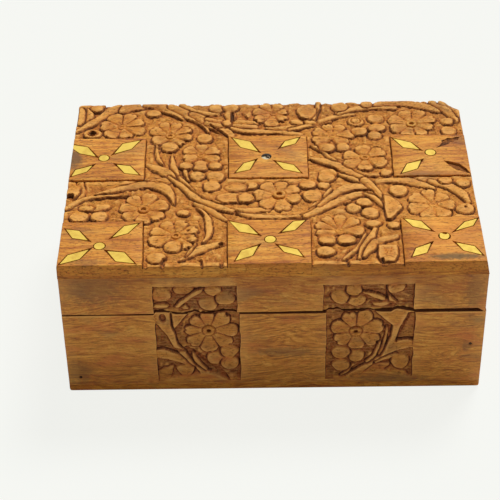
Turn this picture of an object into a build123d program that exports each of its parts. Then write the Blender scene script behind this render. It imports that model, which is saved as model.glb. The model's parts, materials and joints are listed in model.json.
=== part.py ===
"""Hinged keepsake box of carved sheesham boards with brass petals let into the lid.

Millimetres. +X runs along the box to the right, +Y to the back, +Z up, and the origin is the
middle of the underside. The box stands closed. The lid turns up and back about the hinge axis.
"""
import os
from math import radians, tan

from build123d import *

os.makedirs("parts", exist_ok=True)

# ---- Boards ----
box_length = 203.2
box_depth = 137.0
base_height = 49.6
lid_height = 30.4
wall = 11.0
bottom_thickness = 4.2
lid_board_thickness = 7.2
corner_radius = 0.8
foot_radius = 1.5

# The lid is a little short at its right end, and its top board leans in towards the top.
lid_end_setback = 0.4
lid_end_lean = 1.2
lid_front_lean = 0.8

# The front rail of the lid has warped: a gap opens under it towards the right-hand corner, where
# a short land still touches the base.
seam_gap_left = 0.3
seam_gap_right = 2.2
seam_land = 1.8

# ---- Carved grounds ----
lid_carve_depth = 2.5
side_carve_depth = 2.2
field_length = 41.5
field_sill = 6.5
lid_field_height = 17.6
front_field_places = (-36.5, 46.0)
end_field_place = 0.0

# ---- Flowers, buds and vines left standing in the carved grounds ----
flower_petals = 7
flower_reach = 6.2
flower_petal_radius = 3.9
flower_eye_radius = 1.5
flower_eye_depth = 2.0
bud_radius = 4.3
vine_width = 4.8

# ---- Plain panels left standing on the lid, three along the box in two rows ----
panel_length = 39.6
panel_depth = 35.2
middle_column_place = -1.7
back_row_place = 18.6

# ---- Inlay ----
petal_thickness = 1.2
petal_clearance = 0.3
dot_radius = 2.5
dot_thickness = 4.0
dot_clearance = 0.12
pin_head_radius = 2.6
pin_head_rise = 0.9
pin_shank_radius = 1.1
pin_length = 5.5
pin_hole_end_clearance = 0.2

# ---- Hinges ----
hinge_end_inset = 41.6
hinge_length = 24.0
hinge_setback = 3.0
knuckle_radius = 1.9
middle_knuckle_length = 8.4
knuckle_gap = 0.2
leaf_depth = 7.2
leaf_thickness = 0.9
leaf_sink = 0.1
leaf_clearance = 0.1
hinge_pin_radius = 0.9
hinge_pin_clearance = 0.05
barrel_clearance = 0.3
screw_pitch = 14.0
screw_setback = 4.7
screw_head_radius = 1.6
screw_shank_radius = 0.8
screw_length = 8.0
screw_clearance = 0.04

# Both back edges are bevelled from just inside the hinge axis, and the two bevels stop the lid.
bevel_angle = 53.0
bevel_start = 0.3

# ---- Panel pins ----
nail_head_radius = 0.9
nail_head_thickness = 0.5
nail_shank_radius = 0.6
nail_length = 22.0
bottom_nail_length = 15.0
nail_sink = 0.2
nail_clearance = 0.02
nail_end_inset = 6.2
front_nail_heights = {"left": 9.5, "right": 28.8}
back_nail_heights = (12.0, 36.0)
bottom_nail_end_inset = 11.6

# ---- Worked out from the sizes above ----
half_length = box_length / 2
half_depth = box_depth / 2
total_height = base_height + lid_height
board_height = base_height - bottom_thickness
rail_height = lid_height - lid_board_thickness
rail_top = base_height + rail_height
inside_depth = box_depth - 2 * wall
lid_right = half_length - lid_end_setback
lid_length = box_length - lid_end_setback
lid_centre = -lid_end_setback / 2
base_field_height = base_height - field_sill
hinge_y = half_depth - hinge_setback
hinge_places = {"left": -half_length + hinge_end_inset, "right": half_length - hinge_end_inset}
bevel_width = hinge_setback + bevel_start
bevel_drop = bevel_width * tan(radians(bevel_angle))
screw_y = hinge_y - screw_setback
nail_place = half_length - nail_end_inset
ground_height = total_height - lid_carve_depth

front_face = Plane.XZ.offset(half_depth)
back_face = Plane(origin=(0, half_depth, 0), x_dir=(-1, 0, 0), z_dir=(0, 1, 0))
right_face = Plane.YZ.offset(half_length)
lid_right_face = Plane.YZ.offset(lid_right)
left_face = Plane(origin=(-half_length, 0, 0), x_dir=(0, -1, 0), z_dir=(-1, 0, 0))
underside = Plane(origin=(0, 0, 0), x_dir=(1, 0, 0), z_dir=(0, 0, -1))
rim = Plane.XY.offset(base_height)
rim_down = Plane(origin=(0, 0, base_height), x_dir=(1, 0, 0), z_dir=(0, 0, -1))
lid_face = Plane.XY.offset(total_height)

column_places = {
    "left": -half_length + panel_length / 2,
    "middle": middle_column_place,
    "right": lid_right - panel_length / 2,
}
row_places = {"front": -half_depth + panel_depth / 2, "back": back_row_place}

# Each panel holds a dot with a petal towards each corner. All are cut by hand, so each has its own
# corners, from the outer tip round to the last, as shares of half the panel from its centre.
dot_shares = {
    "back_left": (-0.16, 0.01),
    "back_middle": (-0.03, -0.01),
    "back_right": (-0.01, 0.09),
    "front_left": (-0.03, -0.11),
    "front_middle": (0.02, 0.09),
    "front_right": (0.01, 0.14),
}
petal_shares = {
    "back_left_nw": [(-0.99, 0.68), (-0.61, 0.56), (-0.38, 0.10), (-0.80, 0.26), (-0.99, 0.50)],
    "back_left_ne": [(0.73, 0.87), (0.52, 0.45), (0.10, 0.23), (0.29, 0.71)],
    "back_left_se": [(0.77, -0.82), (0.41, -0.74), (0.19, -0.33), (0.53, -0.40)],
    "back_left_sw": [(-0.93, -0.86), (-0.85, -0.56), (-0.44, -0.36), (-0.56, -0.65)],
    "back_middle_nw": [(-0.90, 0.93), (-0.45, 0.74), (-0.25, 0.26), (-0.69, 0.47)],
    "back_middle_ne": [(0.82, 0.91), (0.72, 0.62), (0.35, 0.44), (0.46, 0.74)],
    "back_middle_se": [(0.83, -0.82), (0.40, -0.64), (0.22, -0.27), (0.66, -0.45)],
    "back_middle_sw": [(-0.81, -0.77), (-0.61, -0.34), (-0.33, -0.20), (-0.46, -0.64)],
    "back_right_nw": [(-0.92, 0.81), (-0.47, 0.59), (-0.29, 0.25), (-0.69, 0.36)],
    "back_right_sw": [(-0.81, -0.90), (-0.65, -0.46), (-0.29, -0.31), (-0.41, -0.70)],
    "front_left_nw": [(-0.88, 0.63), (-0.56, 0.56), (-0.33, 0.15), (-0.70, 0.25)],
    "front_left_ne": [(0.86, 0.85), (0.62, 0.43), (0.27, 0.27), (0.52, 0.74)],
    "front_left_se": [(0.84, -0.86), (0.40, -0.77), (0.18, -0.34), (0.58, -0.40)],
    "front_left_sw": [(-0.92, -0.86), (-0.76, -0.49), (-0.28, -0.26), (-0.47, -0.66)],
    "front_middle_nw": [(-0.96, 0.90), (-0.51, 0.73), (-0.28, 0.32), (-0.72, 0.44)],
    "front_middle_ne": [(0.88, 0.91), (0.62, 0.49), (0.31, 0.41), (0.59, 0.86)],
    "front_middle_se": [(0.78, -0.66), (0.34, -0.45), (0.22, -0.18), (0.66, -0.36)],
    "front_middle_sw": [(-0.81, -0.80), (-0.67, -0.38), (-0.28, -0.18), (-0.41, -0.59)],
    "front_right_nw": [(-0.90, 0.93), (-0.50, 0.80), (-0.30, 0.41), (-0.71, 0.58)],
    "front_right_ne": [(0.86, 0.88), (0.74, 0.59), (0.31, 0.38), (0.55, 0.74)],
    "front_right_se": [(0.83, -0.68), (0.41, -0.48), (0.27, -0.16), (0.69, -0.32)],
    "front_right_sw": [(-0.82, -0.72), (-0.71, -0.37), (-0.35, -0.17), (-0.47, -0.56)],
}
# Two petals of the back right panel have fallen out, and their pockets stand empty.
empty_pocket_shares = {
    "back_right_ne": [(0.80, 0.77), (0.65, 0.51), (0.19, 0.34), (0.41, 0.70)],
    "back_right_se": [(0.97, -0.97), (0.57, -0.75), (0.32, -0.34), (0.67, -0.50)],
}

# The carved forms of the lid, as shares of half the box from the middle of the lid. A vine runs
# through its points and is pointed at both ends.
flower_shares = [
    (-0.763, 0.693), (-0.507, 0.584), (0.012, 0.85), (0.315, 0.564), (0.725, 0.689),
    (-0.354, 0.324), (0.472, 0.254), (-0.612, -0.336), (0.035, -0.204), (0.772, -0.328),
    (-0.469, -0.642), (0.313, -0.578),
]
bud_shares = [
    (-0.35, 0.184), (-0.276, 0.044), (-0.6, 0.879), (-0.241, 0.937), (-0.335, 0.537),
    (0.38, 0.952), (0.537, 0.759), (0.545, 0.619), (0.281, 0.403), (0.909, 0.606),
    (0.281, 0.053), (-0.919, -0.409), (-0.827, -0.4), (-0.295, -0.067), (-0.217, -0.175),
    (-0.133, -0.07), (0.187, -0.058), (0.207, -0.196), (0.408, -0.324), (0.472, -0.415),
    (0.62, -0.152), (0.85, -0.038), (-0.469, -0.794), (-0.551, -0.882), (0.246, -0.788),
    (0.348, -0.736), (0.531, -0.847), (0.191, 0.888), (-0.909, 0.613), (0.931, -0.38),
    (-0.967, -0.117),
]
vine_shares = [
    [(-0.999, 0.635), (-0.935, 0.73), (-0.866, 0.847), (-0.748, 0.978)],
    [(-0.63, 0.993), (-0.531, 0.92), (-0.423, 0.832), (-0.305, 0.723), (-0.199, 0.566)],
    [(-0.325, 0.737), (-0.157, 0.693), (0, 0.613), (0.157, 0.558)],
    [(0.059, 0.628), (0.187, 0.677), (0.305, 0.759), (0.433, 0.825)],
    [(0.354, 0.835), (0.531, 0.934), (0.709, 0.966), (0.876, 0.861)],
    [(0.846, 0.978), (0.935, 0.847), (0.96, 0.723)],
    [(-0.974, -0.328), (-0.837, -0.152), (-0.61, -0.044), (-0.482, 0.015)],
    [(-0.567, 0.496), (-0.541, 0.263), (-0.477, 0.029)],
    [(-0.482, 0.38), (-0.459, 0.088), (-0.384, -0.146), (-0.295, -0.257)],
    [(-0.6, -0.066), (-0.531, -0.124), (-0.48, -0.285)],
    [(-0.497, -0.015), (-0.378, -0.231), (-0.276, -0.328), (-0.118, -0.377), (0, -0.362)],
    [(0.192, 0.255), (0.34, 0.14), (0.477, -0.029)],
    [(0.157, -0.445), (0.266, -0.314), (0.359, -0.146), (0.487, -0.123)],
    [(0.453, -0.022), (0.507, -0.146), (0.545, -0.292), (0.559, -0.482)],
    [(0.522, -0.038), (0.679, -0.047), (0.787, -0.134)],
    [(0.778, -0.05), (0.911, -0.175), (0.949, -0.299)],
    [(-0.256, -0.745), (-0.354, -0.818), (-0.399, -0.92)],
    [(0.492, -0.569), (0.461, -0.701), (0.399, -0.92)],
]

# The forms of a carved field, as shares of half its length from its middle and of its height from
# its foot: first those of the base, then those that go on above the seam.
base_field_forms = {
    "flowers": [(0.26, 0.73)],
    "buds": [(0.39, 0.33), (0.77, 0.43), (0.75, 0.24), (-0.27, 0.16)],
    "vines": [
        [(-0.90, 0.98), (-0.60, 0.73), (-0.27, 0.41), (0.12, 0.13)],
        [(-0.98, 0.41), (-0.55, 0.35), (-0.07, 0.17)],
    ],
}
lid_field_forms = {
    "flowers": [],
    "buds": [(-0.78, 0.66), (0.31, 0.80), (0.27, 0.38), (0.70, 0.56)],
    "vines": [[(-0.42, 0.08), (-0.20, 0.52), (0.14, 0.92)]],
}


def save(part, name):
    """Label a finished piece and write its STEP file."""
    part.label = name
    export_step(part, f"parts/{name}.step")


def on_panel(name, share):
    """The point of the lid that lies at a share of half the panel from the panel's centre."""
    row, column = name.split("_")[:2]
    x = column_places[column] + share[0] * panel_length / 2
    y = row_places[row] + share[1] * panel_depth / 2
    return x, y


def petal_outline(name, shares):
    """The hand-cut outline of a petal, flush with the top of its panel."""
    with BuildSketch(lid_face) as outline:
        Polygon(*[on_panel(name, share) for share in shares], align=None)
    return outline.sketch


def pocket_outline(name, shares):
    """The petal's outline with clearance all round, chiselled past its tips."""
    with BuildSketch(lid_face) as outline:
        Polygon(*[on_panel(name, share) for share in shares], align=None)
        offset(amount=petal_clearance, kind=Kind.INTERSECTION)
    return outline.sketch


def discs(face, spots, radius, depth, mode=Mode.ADD):
    """Round pegs, or holes for them, sunk from a face at the given spots."""
    with BuildSketch(face) as circles:
        with Locations(*spots):
            Circle(radius)
    extrude(circles.sketch, amount=-depth, mode=mode)


def on_lid(share):
    """The point of the lid that lies at a share of half the box from the middle."""
    return share[0] * half_length, share[1] * half_depth


def vine_outline(points):
    """The corners of a vine: out along its left side and back along its right side."""
    points = [Vector(*point) for point in points]
    left_side, right_side = [], []
    for before, point, after in zip(points, points[1:], points[2:]):
        aside = (after - before).normalized().rotate(Axis.Z, 90) * (vine_width / 2)
        left_side.append(point + aside)
        right_side.insert(0, point - aside)
    return [points[0], *left_side, points[-1], *right_side]


def leave_forms(flowers, buds, vines):
    """Leave forms standing in the ground that is being drawn."""
    if flowers:
        with Locations(*flowers):
            Circle(flower_reach, mode=Mode.SUBTRACT)
            with PolarLocations(flower_reach, flower_petals):
                Circle(flower_petal_radius, mode=Mode.SUBTRACT)
    with Locations(*buds):
        Circle(bud_radius, mode=Mode.SUBTRACT)
    for vine in vines:
        Polygon(*vine_outline(vine), align=None, mode=Mode.SUBTRACT)


def nails(face, spots, length, clearance=0.0, mode=Mode.ADD):
    """Panel pins with their heads sunk under a face, or with clearance the holes they make."""
    sunk = face.offset(-nail_sink)
    discs(sunk, spots, nail_shank_radius + clearance, length + clearance, mode)
    discs(sunk, spots, nail_head_radius + clearance, nail_head_thickness + clearance, mode)


def nail_holes(face, spots, length):
    """The holes of sunk panel pins, open at the face."""
    discs(face, spots, nail_head_radius + nail_clearance, nail_sink, Mode.SUBTRACT)
    nails(face, spots, length, nail_clearance, Mode.SUBTRACT)


def carve_fields(face, places, bottom, height, forms):
    """Sink the carved fields of a face round their forms, mirrored to the right of its middle."""
    for place in places:
        way = -1 if place > 0 else 1

        def on_field(share):
            return place + way * share[0] * field_length / 2, bottom + share[1] * height

        flowers = [on_field(share) for share in forms["flowers"]]
        buds = [on_field(share) for share in forms["buds"]]
        vines = [[on_field(share) for share in vine] for vine in forms["vines"]]
        with BuildSketch(face) as ground:
            with Locations((place, bottom + height / 2)):
                Rectangle(field_length, height)
            leave_forms(flowers, buds, vines)
        extrude(ground.sketch, amount=-side_carve_depth, mode=Mode.SUBTRACT)
        if flowers:
            discs(face, flowers, flower_eye_radius, flower_eye_depth, Mode.SUBTRACT)


def round_corners(board, side):
    """Ease the two upright edges of a board at the front (0) or the back (-1) of the box."""
    fillet(board.edges().filter_by(Axis.Z).group_by(Axis.Y)[side], corner_radius)


def board(x, y, length, depth, bottom, height):
    """Add a plain board whose plan is centred on x, y."""
    with BuildSketch(Plane.XY.offset(bottom)) as plan:
        with Locations((x, y)):
            Rectangle(length, depth)
    extrude(plan.sketch, amount=height)


def back_bevel(direction):
    """Take the bevel off the back edge at the rim, down (-1) on the base or up (1) on the lid."""
    with BuildSketch(Plane.YZ.offset(-half_length)) as wedge:
        Polygon(
            (half_depth - bevel_width, base_height),
            (half_depth, base_height),
            (half_depth, base_height + direction * bevel_drop),
            align=None,
        )
    extrude(wedge.sketch, amount=box_length, mode=Mode.SUBTRACT)


def screw_spots(place):
    """The two screws of a leaf, as x, y in the plan of the box."""
    return [(place - screw_pitch / 2, screw_y), (place + screw_pitch / 2, screw_y)]


def seat_hinges(direction):
    """Cut the mortises, barrel reliefs and pilot holes of both hinges into the rim."""
    face = rim if direction < 0 else rim_down
    leaf_centre = hinge_y - leaf_depth / 2
    for place in hinge_places.values():
        with BuildSketch(face) as mortise:
            with Locations((place, direction * -leaf_centre)):
                Rectangle(hinge_length + 2 * leaf_clearance, leaf_depth + 2 * leaf_clearance)
        extrude(mortise.sketch, amount=-(leaf_sink + leaf_thickness), mode=Mode.SUBTRACT)
        barrel_length = hinge_length + 2 * leaf_clearance
        with BuildSketch(Plane.YZ.offset(place - barrel_length / 2)) as relief:
            with Locations((hinge_y, base_height)):
                Circle(knuckle_radius + barrel_clearance)
        extrude(relief.sketch, amount=barrel_length, mode=Mode.SUBTRACT)
        spots = [(x, direction * -y) for x, y in screw_spots(place)]
        depth = leaf_sink + screw_length + screw_clearance
        discs(face, spots, screw_shank_radius + screw_clearance, depth, Mode.SUBTRACT)


# ---- Base ----
bottom_nail_spots = [
    (x, y)
    for x in (-half_length + bottom_nail_end_inset, 0, half_length - bottom_nail_end_inset)
    for y in (-(half_depth - wall / 2), half_depth - wall / 2)
]
front_nail_spots = [
    (-nail_place, front_nail_heights["left"]),
    (nail_place, front_nail_heights["right"]),
]
back_nail_spots = [(x, z) for x in (-nail_place, nail_place) for z in back_nail_heights]

with BuildPart() as base_bottom_panel:
    board(0, 0, box_length, box_depth, 0, bottom_thickness)
    fillet(base_bottom_panel.edges().filter_by(Axis.Z), corner_radius)
    fillet(base_bottom_panel.faces().sort_by(Axis.Z)[0].edges(), foot_radius)
    nail_holes(underside, bottom_nail_spots, bottom_nail_length)
save(base_bottom_panel.part, "base_bottom_panel")

with BuildPart() as base_front_board:
    board(0, -half_depth + wall / 2, box_length, wall, bottom_thickness, board_height)
    round_corners(base_front_board, 0)
    carve_fields(front_face, front_field_places, field_sill, base_field_height, base_field_forms)
    nail_holes(front_face, front_nail_spots, nail_length)
    nail_holes(underside, bottom_nail_spots, bottom_nail_length)
save(base_front_board.part, "base_front_board")

with BuildPart() as base_back_board:
    board(0, half_depth - wall / 2, box_length, wall, bottom_thickness, board_height)
    round_corners(base_back_board, -1)
    back_bevel(-1)
    seat_hinges(-1)
    nail_holes(back_face, back_nail_spots, nail_length)
    nail_holes(underside, bottom_nail_spots, bottom_nail_length)
save(base_back_board.part, "base_back_board")

with BuildPart() as base_left_board:
    board(-half_length + wall / 2, 0, wall, inside_depth, bottom_thickness, board_height)
    carve_fields(left_face, [end_field_place], field_sill, base_field_height, base_field_forms)
    nail_holes(front_face, front_nail_spots, nail_length)
    nail_holes(back_face, back_nail_spots, nail_length)
save(base_left_board.part, "base_left_board")

with BuildPart() as base_right_board:
    board(half_length - wall / 2, 0, wall, inside_depth, bottom_thickness, board_height)
    carve_fields(right_face, [end_field_place], field_sill, base_field_height, base_field_forms)
    nail_holes(front_face, front_nail_spots, nail_length)
    nail_holes(back_face, back_nail_spots, nail_length)
save(base_right_board.part, "base_right_board")

with BuildPart() as base_front_nails:
    nails(front_face, front_nail_spots, nail_length)
save(base_front_nails.part, "base_front_nails")

with BuildPart() as base_back_nails:
    nails(back_face, back_nail_spots, nail_length)
save(base_back_nails.part, "base_back_nails")

with BuildPart() as base_bottom_nails:
    nails(underside, bottom_nail_spots, bottom_nail_length)
save(base_bottom_nails.part, "base_bottom_nails")

# ---- Lid rails ----
with BuildPart() as lid_front_rail:
    board(lid_centre, -half_depth + wall / 2, lid_length, wall, base_height, rail_height)
    round_corners(lid_front_rail, 0)
    land_x = lid_right - seam_land
    with BuildSketch(front_face) as seam:
        Polygon(
            (-half_length, base_height),
            (land_x, base_height),
            (land_x, base_height + seam_gap_right),
            (-half_length, base_height + seam_gap_left),
            align=None,
        )
    extrude(seam.sketch, amount=-wall, mode=Mode.SUBTRACT)
    carve_fields(front_face, front_field_places, base_height, lid_field_height, lid_field_forms)
save(lid_front_rail.part, "lid_front_rail")

with BuildPart() as lid_back_rail:
    board(lid_centre, half_depth - wall / 2, lid_length, wall, base_height, rail_height)
    round_corners(lid_back_rail, -1)
    back_bevel(1)
    seat_hinges(1)
save(lid_back_rail.part, "lid_back_rail")

with BuildPart() as lid_left_rail:
    board(-half_length + wall / 2, 0, wall, inside_depth, base_height, rail_height)
    carve_fields(left_face, [end_field_place], base_height, lid_field_height, lid_field_forms)
save(lid_left_rail.part, "lid_left_rail")

with BuildPart() as lid_right_rail:
    board(lid_right - wall / 2, 0, wall, inside_depth, base_height, rail_height)
    carve_fields(lid_right_face, [end_field_place], base_height, lid_field_height, lid_field_forms)
save(lid_right_rail.part, "lid_right_rail")

# ---- Lid board, with its carved ground sunk round the six panels and the carved forms ----
flower_spots = [on_lid(share) for share in flower_shares]
bud_spots = [on_lid(share) for share in bud_shares]
vine_lines = [[on_lid(share) for share in shares] for shares in vine_shares]

with BuildPart() as lid_top_board:
    board(lid_centre, 0, lid_length, box_depth, rail_top, lid_board_thickness)
    fillet(lid_top_board.edges().filter_by(Axis.Z), corner_radius)
    with BuildSketch(Plane.YZ.offset(-half_length)) as front_lean:
        Polygon(
            (-half_depth, rail_top),
            (-half_depth + lid_front_lean, total_height),
            (-half_depth, total_height),
            align=None,
        )
    extrude(front_lean.sketch, amount=box_length, mode=Mode.SUBTRACT)
    with BuildSketch(front_face) as end_lean:
        Polygon(
            (lid_right, rail_top),
            (lid_right, total_height),
            (lid_right - lid_end_lean, total_height),
            align=None,
        )
    extrude(end_lean.sketch, amount=-box_depth, mode=Mode.SUBTRACT)
    with BuildSketch(lid_face) as ground:
        Rectangle(2 * box_length, 2 * box_depth)
        with Locations(*[(x, y) for x in column_places.values() for y in row_places.values()]):
            Rectangle(panel_length, panel_depth, mode=Mode.SUBTRACT)
        leave_forms(flower_spots, bud_spots, vine_lines)
    extrude(ground.sketch, amount=-lid_carve_depth, mode=Mode.SUBTRACT)
    discs(lid_face, flower_spots, flower_eye_radius, flower_eye_depth, Mode.SUBTRACT)
    for name, shares in {**petal_shares, **empty_pocket_shares}.items():
        extrude(pocket_outline(name, shares), amount=-petal_thickness, mode=Mode.SUBTRACT)
    for name, share in dot_shares.items():
        spot = on_panel(name, share)
        if name == "back_middle":
            hole_depth = pin_length + pin_hole_end_clearance
            discs(lid_face, [spot], pin_shank_radius + nail_clearance, hole_depth, Mode.SUBTRACT)
        else:
            discs(lid_face, [spot], dot_radius + dot_clearance, dot_thickness, Mode.SUBTRACT)
save(lid_top_board.part, "lid_top_board")

# ---- Brass petals and dots, and the steel pin that stands in for the missing dot ----
for name, shares in petal_shares.items():
    with BuildPart() as petal:
        extrude(petal_outline(name, shares), amount=-petal_thickness)
    save(petal.part, f"inlay_petal_{name}")

for name, share in dot_shares.items():
    if name == "back_middle":
        continue
    with BuildPart() as dot:
        discs(lid_face, [on_panel(name, share)], dot_radius, dot_thickness)
    save(dot.part, f"inlay_dot_{name}")

pin_x, pin_y = on_panel("back_middle", dot_shares["back_middle"])
dome_radius = (pin_head_radius**2 + pin_head_rise**2) / (2 * pin_head_rise)
with BuildPart() as steel_pin:
    discs(lid_face, [(pin_x, pin_y)], pin_shank_radius, pin_length)
    with BuildSketch(Plane.XZ.offset(-pin_y)) as dome:
        with BuildLine():
            Line((pin_x, total_height), (pin_x + pin_head_radius, total_height))
            RadiusArc(
                (pin_x + pin_head_radius, total_height),
                (pin_x, total_height + pin_head_rise),
                -dome_radius,
            )
            Line((pin_x, total_height + pin_head_rise), (pin_x, total_height))
        make_face()
    revolve(dome.sketch, axis=Axis((pin_x, pin_y, 0), (0, 0, 1)))
save(steel_pin.part, "steel_pin")


# ---- Hinges ----
def knuckle(start, length):
    """A knuckle of the barrel, from start along +X."""
    with BuildSketch(Plane.YZ.offset(start)) as ring:
        with Locations((hinge_y, base_height)):
            Circle(knuckle_radius)
    extrude(ring.sketch, amount=length)


def leaf_plate(x, y_low, y_high, length, direction):
    """A flat of a leaf, under the rim (-1) or over it (1)."""
    with BuildSketch(Plane.XY.offset(base_height + direction * leaf_sink)) as flat:
        with Locations((x, (y_low + y_high) / 2)):
            Rectangle(length, y_high - y_low)
    extrude(flat.sketch, amount=direction * leaf_thickness)


def bore_leaf(place, direction):
    """Ream the barrel for the pin and countersink the two screw holes."""
    with BuildSketch(Plane.YZ.offset(place - hinge_length / 2)) as bore:
        with Locations((hinge_y, base_height)):
            Circle(hinge_pin_radius + hinge_pin_clearance)
    extrude(bore.sketch, amount=hinge_length, mode=Mode.SUBTRACT)
    facing = rim if direction < 0 else rim_down
    spots = [(x, direction * -y) for x, y in screw_spots(place)]
    with Locations(facing.offset(-leaf_sink)):
        with Locations(*spots):
            CounterSinkHole(
                radius=screw_shank_radius + screw_clearance,
                counter_sink_radius=screw_head_radius + screw_clearance,
                counter_sink_angle=90,
                depth=leaf_thickness,
            )


def hinge_screws(place, direction):
    """Two countersunk screws, their heads level with the leaf."""
    facing = (rim if direction < 0 else rim_down).offset(-leaf_sink)
    spots = [(x, direction * -y) for x, y in screw_spots(place)]
    head_depth = screw_head_radius - screw_shank_radius
    with BuildPart() as screws:
        discs(facing, spots, screw_shank_radius, screw_length)
        with Locations(facing.offset(-head_depth)):
            with Locations(*spots):
                Cone(
                    bottom_radius=screw_shank_radius,
                    top_radius=screw_head_radius,
                    height=head_depth,
                    align=(Align.CENTER, Align.CENTER, Align.MIN),
                )
    return screws.part


for side, place in hinge_places.items():
    barrel_start = place - hinge_length / 2
    end_knuckle_length = (hinge_length - middle_knuckle_length) / 2 - knuckle_gap
    end_knuckle_offset = (hinge_length - end_knuckle_length) / 2
    leaf_front = hinge_y - leaf_depth
    leaf_back = hinge_y - knuckle_radius - knuckle_gap

    with BuildPart() as base_leaf:
        knuckle(barrel_start, end_knuckle_length)
        knuckle(barrel_start + hinge_length - end_knuckle_length, end_knuckle_length)
        leaf_plate(place, leaf_front, leaf_back, hinge_length, -1)
        leaf_plate(place - end_knuckle_offset, leaf_back, hinge_y, end_knuckle_length, -1)
        leaf_plate(place + end_knuckle_offset, leaf_back, hinge_y, end_knuckle_length, -1)
        bore_leaf(place, -1)
    save(base_leaf.part, f"hinge_{side}_base_leaf")

    with BuildPart() as lid_leaf:
        knuckle(place - middle_knuckle_length / 2, middle_knuckle_length)
        leaf_plate(place, leaf_front, leaf_back, hinge_length, 1)
        leaf_plate(place, leaf_back, hinge_y, middle_knuckle_length, 1)
        bore_leaf(place, 1)
    save(lid_leaf.part, f"hinge_{side}_lid_leaf")

    with BuildPart() as hinge_pin:
        with BuildSketch(Plane.YZ.offset(barrel_start)) as pin_end:
            with Locations((hinge_y, base_height)):
                Circle(hinge_pin_radius)
        extrude(pin_end.sketch, amount=hinge_length)
    save(hinge_pin.part, f"hinge_{side}_pin")

    save(hinge_screws(place, -1), f"hinge_{side}_base_screws")
    save(hinge_screws(place, 1), f"hinge_{side}_lid_screws")
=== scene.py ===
# %% [markdown]
# # A keepsake box of carved sheesham
#
# The box is made of plain boards, with a carved vine of flowers on the lid and carved fields on the
# front and the ends. Six plain squares stand up between the vines, each with four brass petals and
# a dot let into it. The lesson makes the carved boards one by one, and then the nails and screws.
# It leaves nearly all of the brass, the hinges and the plain boards as the imported model has
# them, with better finishes.
#
# The imported model comes first. It fixes the size and place of every board and fitting. Only the
# carving is laid out here, one form at a time.

# %% Load the imported model
import json
import math
from functools import partial

import bmesh
import bpy
import numpy as np
from mathutils import Matrix, Vector
from mathutils.geometry import delaunay_2d_cdt

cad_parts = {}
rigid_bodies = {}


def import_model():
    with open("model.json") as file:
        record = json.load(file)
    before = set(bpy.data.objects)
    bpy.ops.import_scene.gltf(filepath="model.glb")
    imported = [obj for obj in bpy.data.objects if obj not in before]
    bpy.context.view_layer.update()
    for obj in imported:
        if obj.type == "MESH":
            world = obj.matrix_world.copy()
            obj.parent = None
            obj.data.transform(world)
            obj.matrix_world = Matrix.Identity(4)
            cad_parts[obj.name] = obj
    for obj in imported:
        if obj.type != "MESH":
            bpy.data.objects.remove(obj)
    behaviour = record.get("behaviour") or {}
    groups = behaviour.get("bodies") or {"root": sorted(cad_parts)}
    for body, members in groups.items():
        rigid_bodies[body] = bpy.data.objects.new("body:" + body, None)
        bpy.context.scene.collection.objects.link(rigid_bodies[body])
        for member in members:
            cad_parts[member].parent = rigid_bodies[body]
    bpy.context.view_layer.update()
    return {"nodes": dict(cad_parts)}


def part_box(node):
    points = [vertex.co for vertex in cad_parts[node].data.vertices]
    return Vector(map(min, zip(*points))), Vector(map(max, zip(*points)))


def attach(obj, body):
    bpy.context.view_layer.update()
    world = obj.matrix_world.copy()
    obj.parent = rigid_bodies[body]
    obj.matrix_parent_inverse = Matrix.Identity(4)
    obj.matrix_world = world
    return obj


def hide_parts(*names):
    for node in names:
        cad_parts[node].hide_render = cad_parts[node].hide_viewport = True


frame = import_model()

# %% [markdown]
# Shapes are worked out in millimetres, the unit a carver would use, and turned into metres only
# when a mesh is made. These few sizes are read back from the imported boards.

# %% Sizes of the boards
MM = 0.001
FAR, TINY = 1e3, 1e-9


def node_box(name):
    """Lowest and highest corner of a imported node, in mm."""
    return [np.array(corner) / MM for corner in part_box(name)]


base_low, base_high = node_box("base_front_board")
rail_low, rail_high = node_box("lid_front_rail")
lid_low, lid_high = node_box("lid_top_board")
end_low, end_high = node_box("base_left_board")
left, front, back = lid_low[0], lid_low[1], lid_high[1]
base_right, lid_right = base_high[0], lid_high[0]
rim, rail_top, lid_top = base_high[2], lid_low[2], lid_high[2]
wall = base_high[1] - base_low[1]
print("rim", rim, "rail top", rail_top, "lid top", lid_top, "wall", wall)

# %% [markdown]
# ## Helpers for hand work
#
# Nothing cut with a knife is quite straight or quite level. Two helpers give that: a soft step, for
# every shoulder and slope, and a smooth wandering value, for edges that wave and tops that tilt.
# The wandering value comes from a fixed table of random numbers, so it is the same every time. Two
# more put a new object into the scene and count the triangles of a mesh.

# %% Soft step and unevenness
def soft_step(low, high, x):
    """0 below low, 1 above high, and a smooth slope between them."""
    t = np.clip((x - low) / (high - low), 0, 1)
    return t * t * (3 - 2 * t)


LATTICE = 64


def unevenness(u, v, size, seed):
    """A smooth value between -1 and 1 that wanders over a face, with bumps about size mm wide."""
    table = np.random.RandomState(seed).uniform(-1, 1, (LATTICE, LATTICE))
    column, row = np.floor(u / size), np.floor(v / size)
    a, b = soft_step(0, 1, u / size - column), soft_step(0, 1, v / size - row)
    i, j = column.astype(int) % LATTICE, row.astype(int) % LATTICE
    i2, j2 = (i + 1) % LATTICE, (j + 1) % LATTICE
    near = table[i, j] * (1 - a) + table[i2, j] * a
    far = table[i, j2] * (1 - a) + table[i2, j2] * a
    return near * (1 - b) + far * b


print("half way up a soft step", soft_step(0, 1, 0.5))


# %% New objects
def add_object(name, data):
    """Put a new object with this data into the scene."""
    made = bpy.data.objects.new(name, data)
    bpy.context.scene.collection.objects.link(made)
    return made


def triangles_in(mesh):
    """How many triangles a mesh's faces come to."""
    return sum(len(p.vertices) - 2 for p in mesh.polygons)


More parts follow.
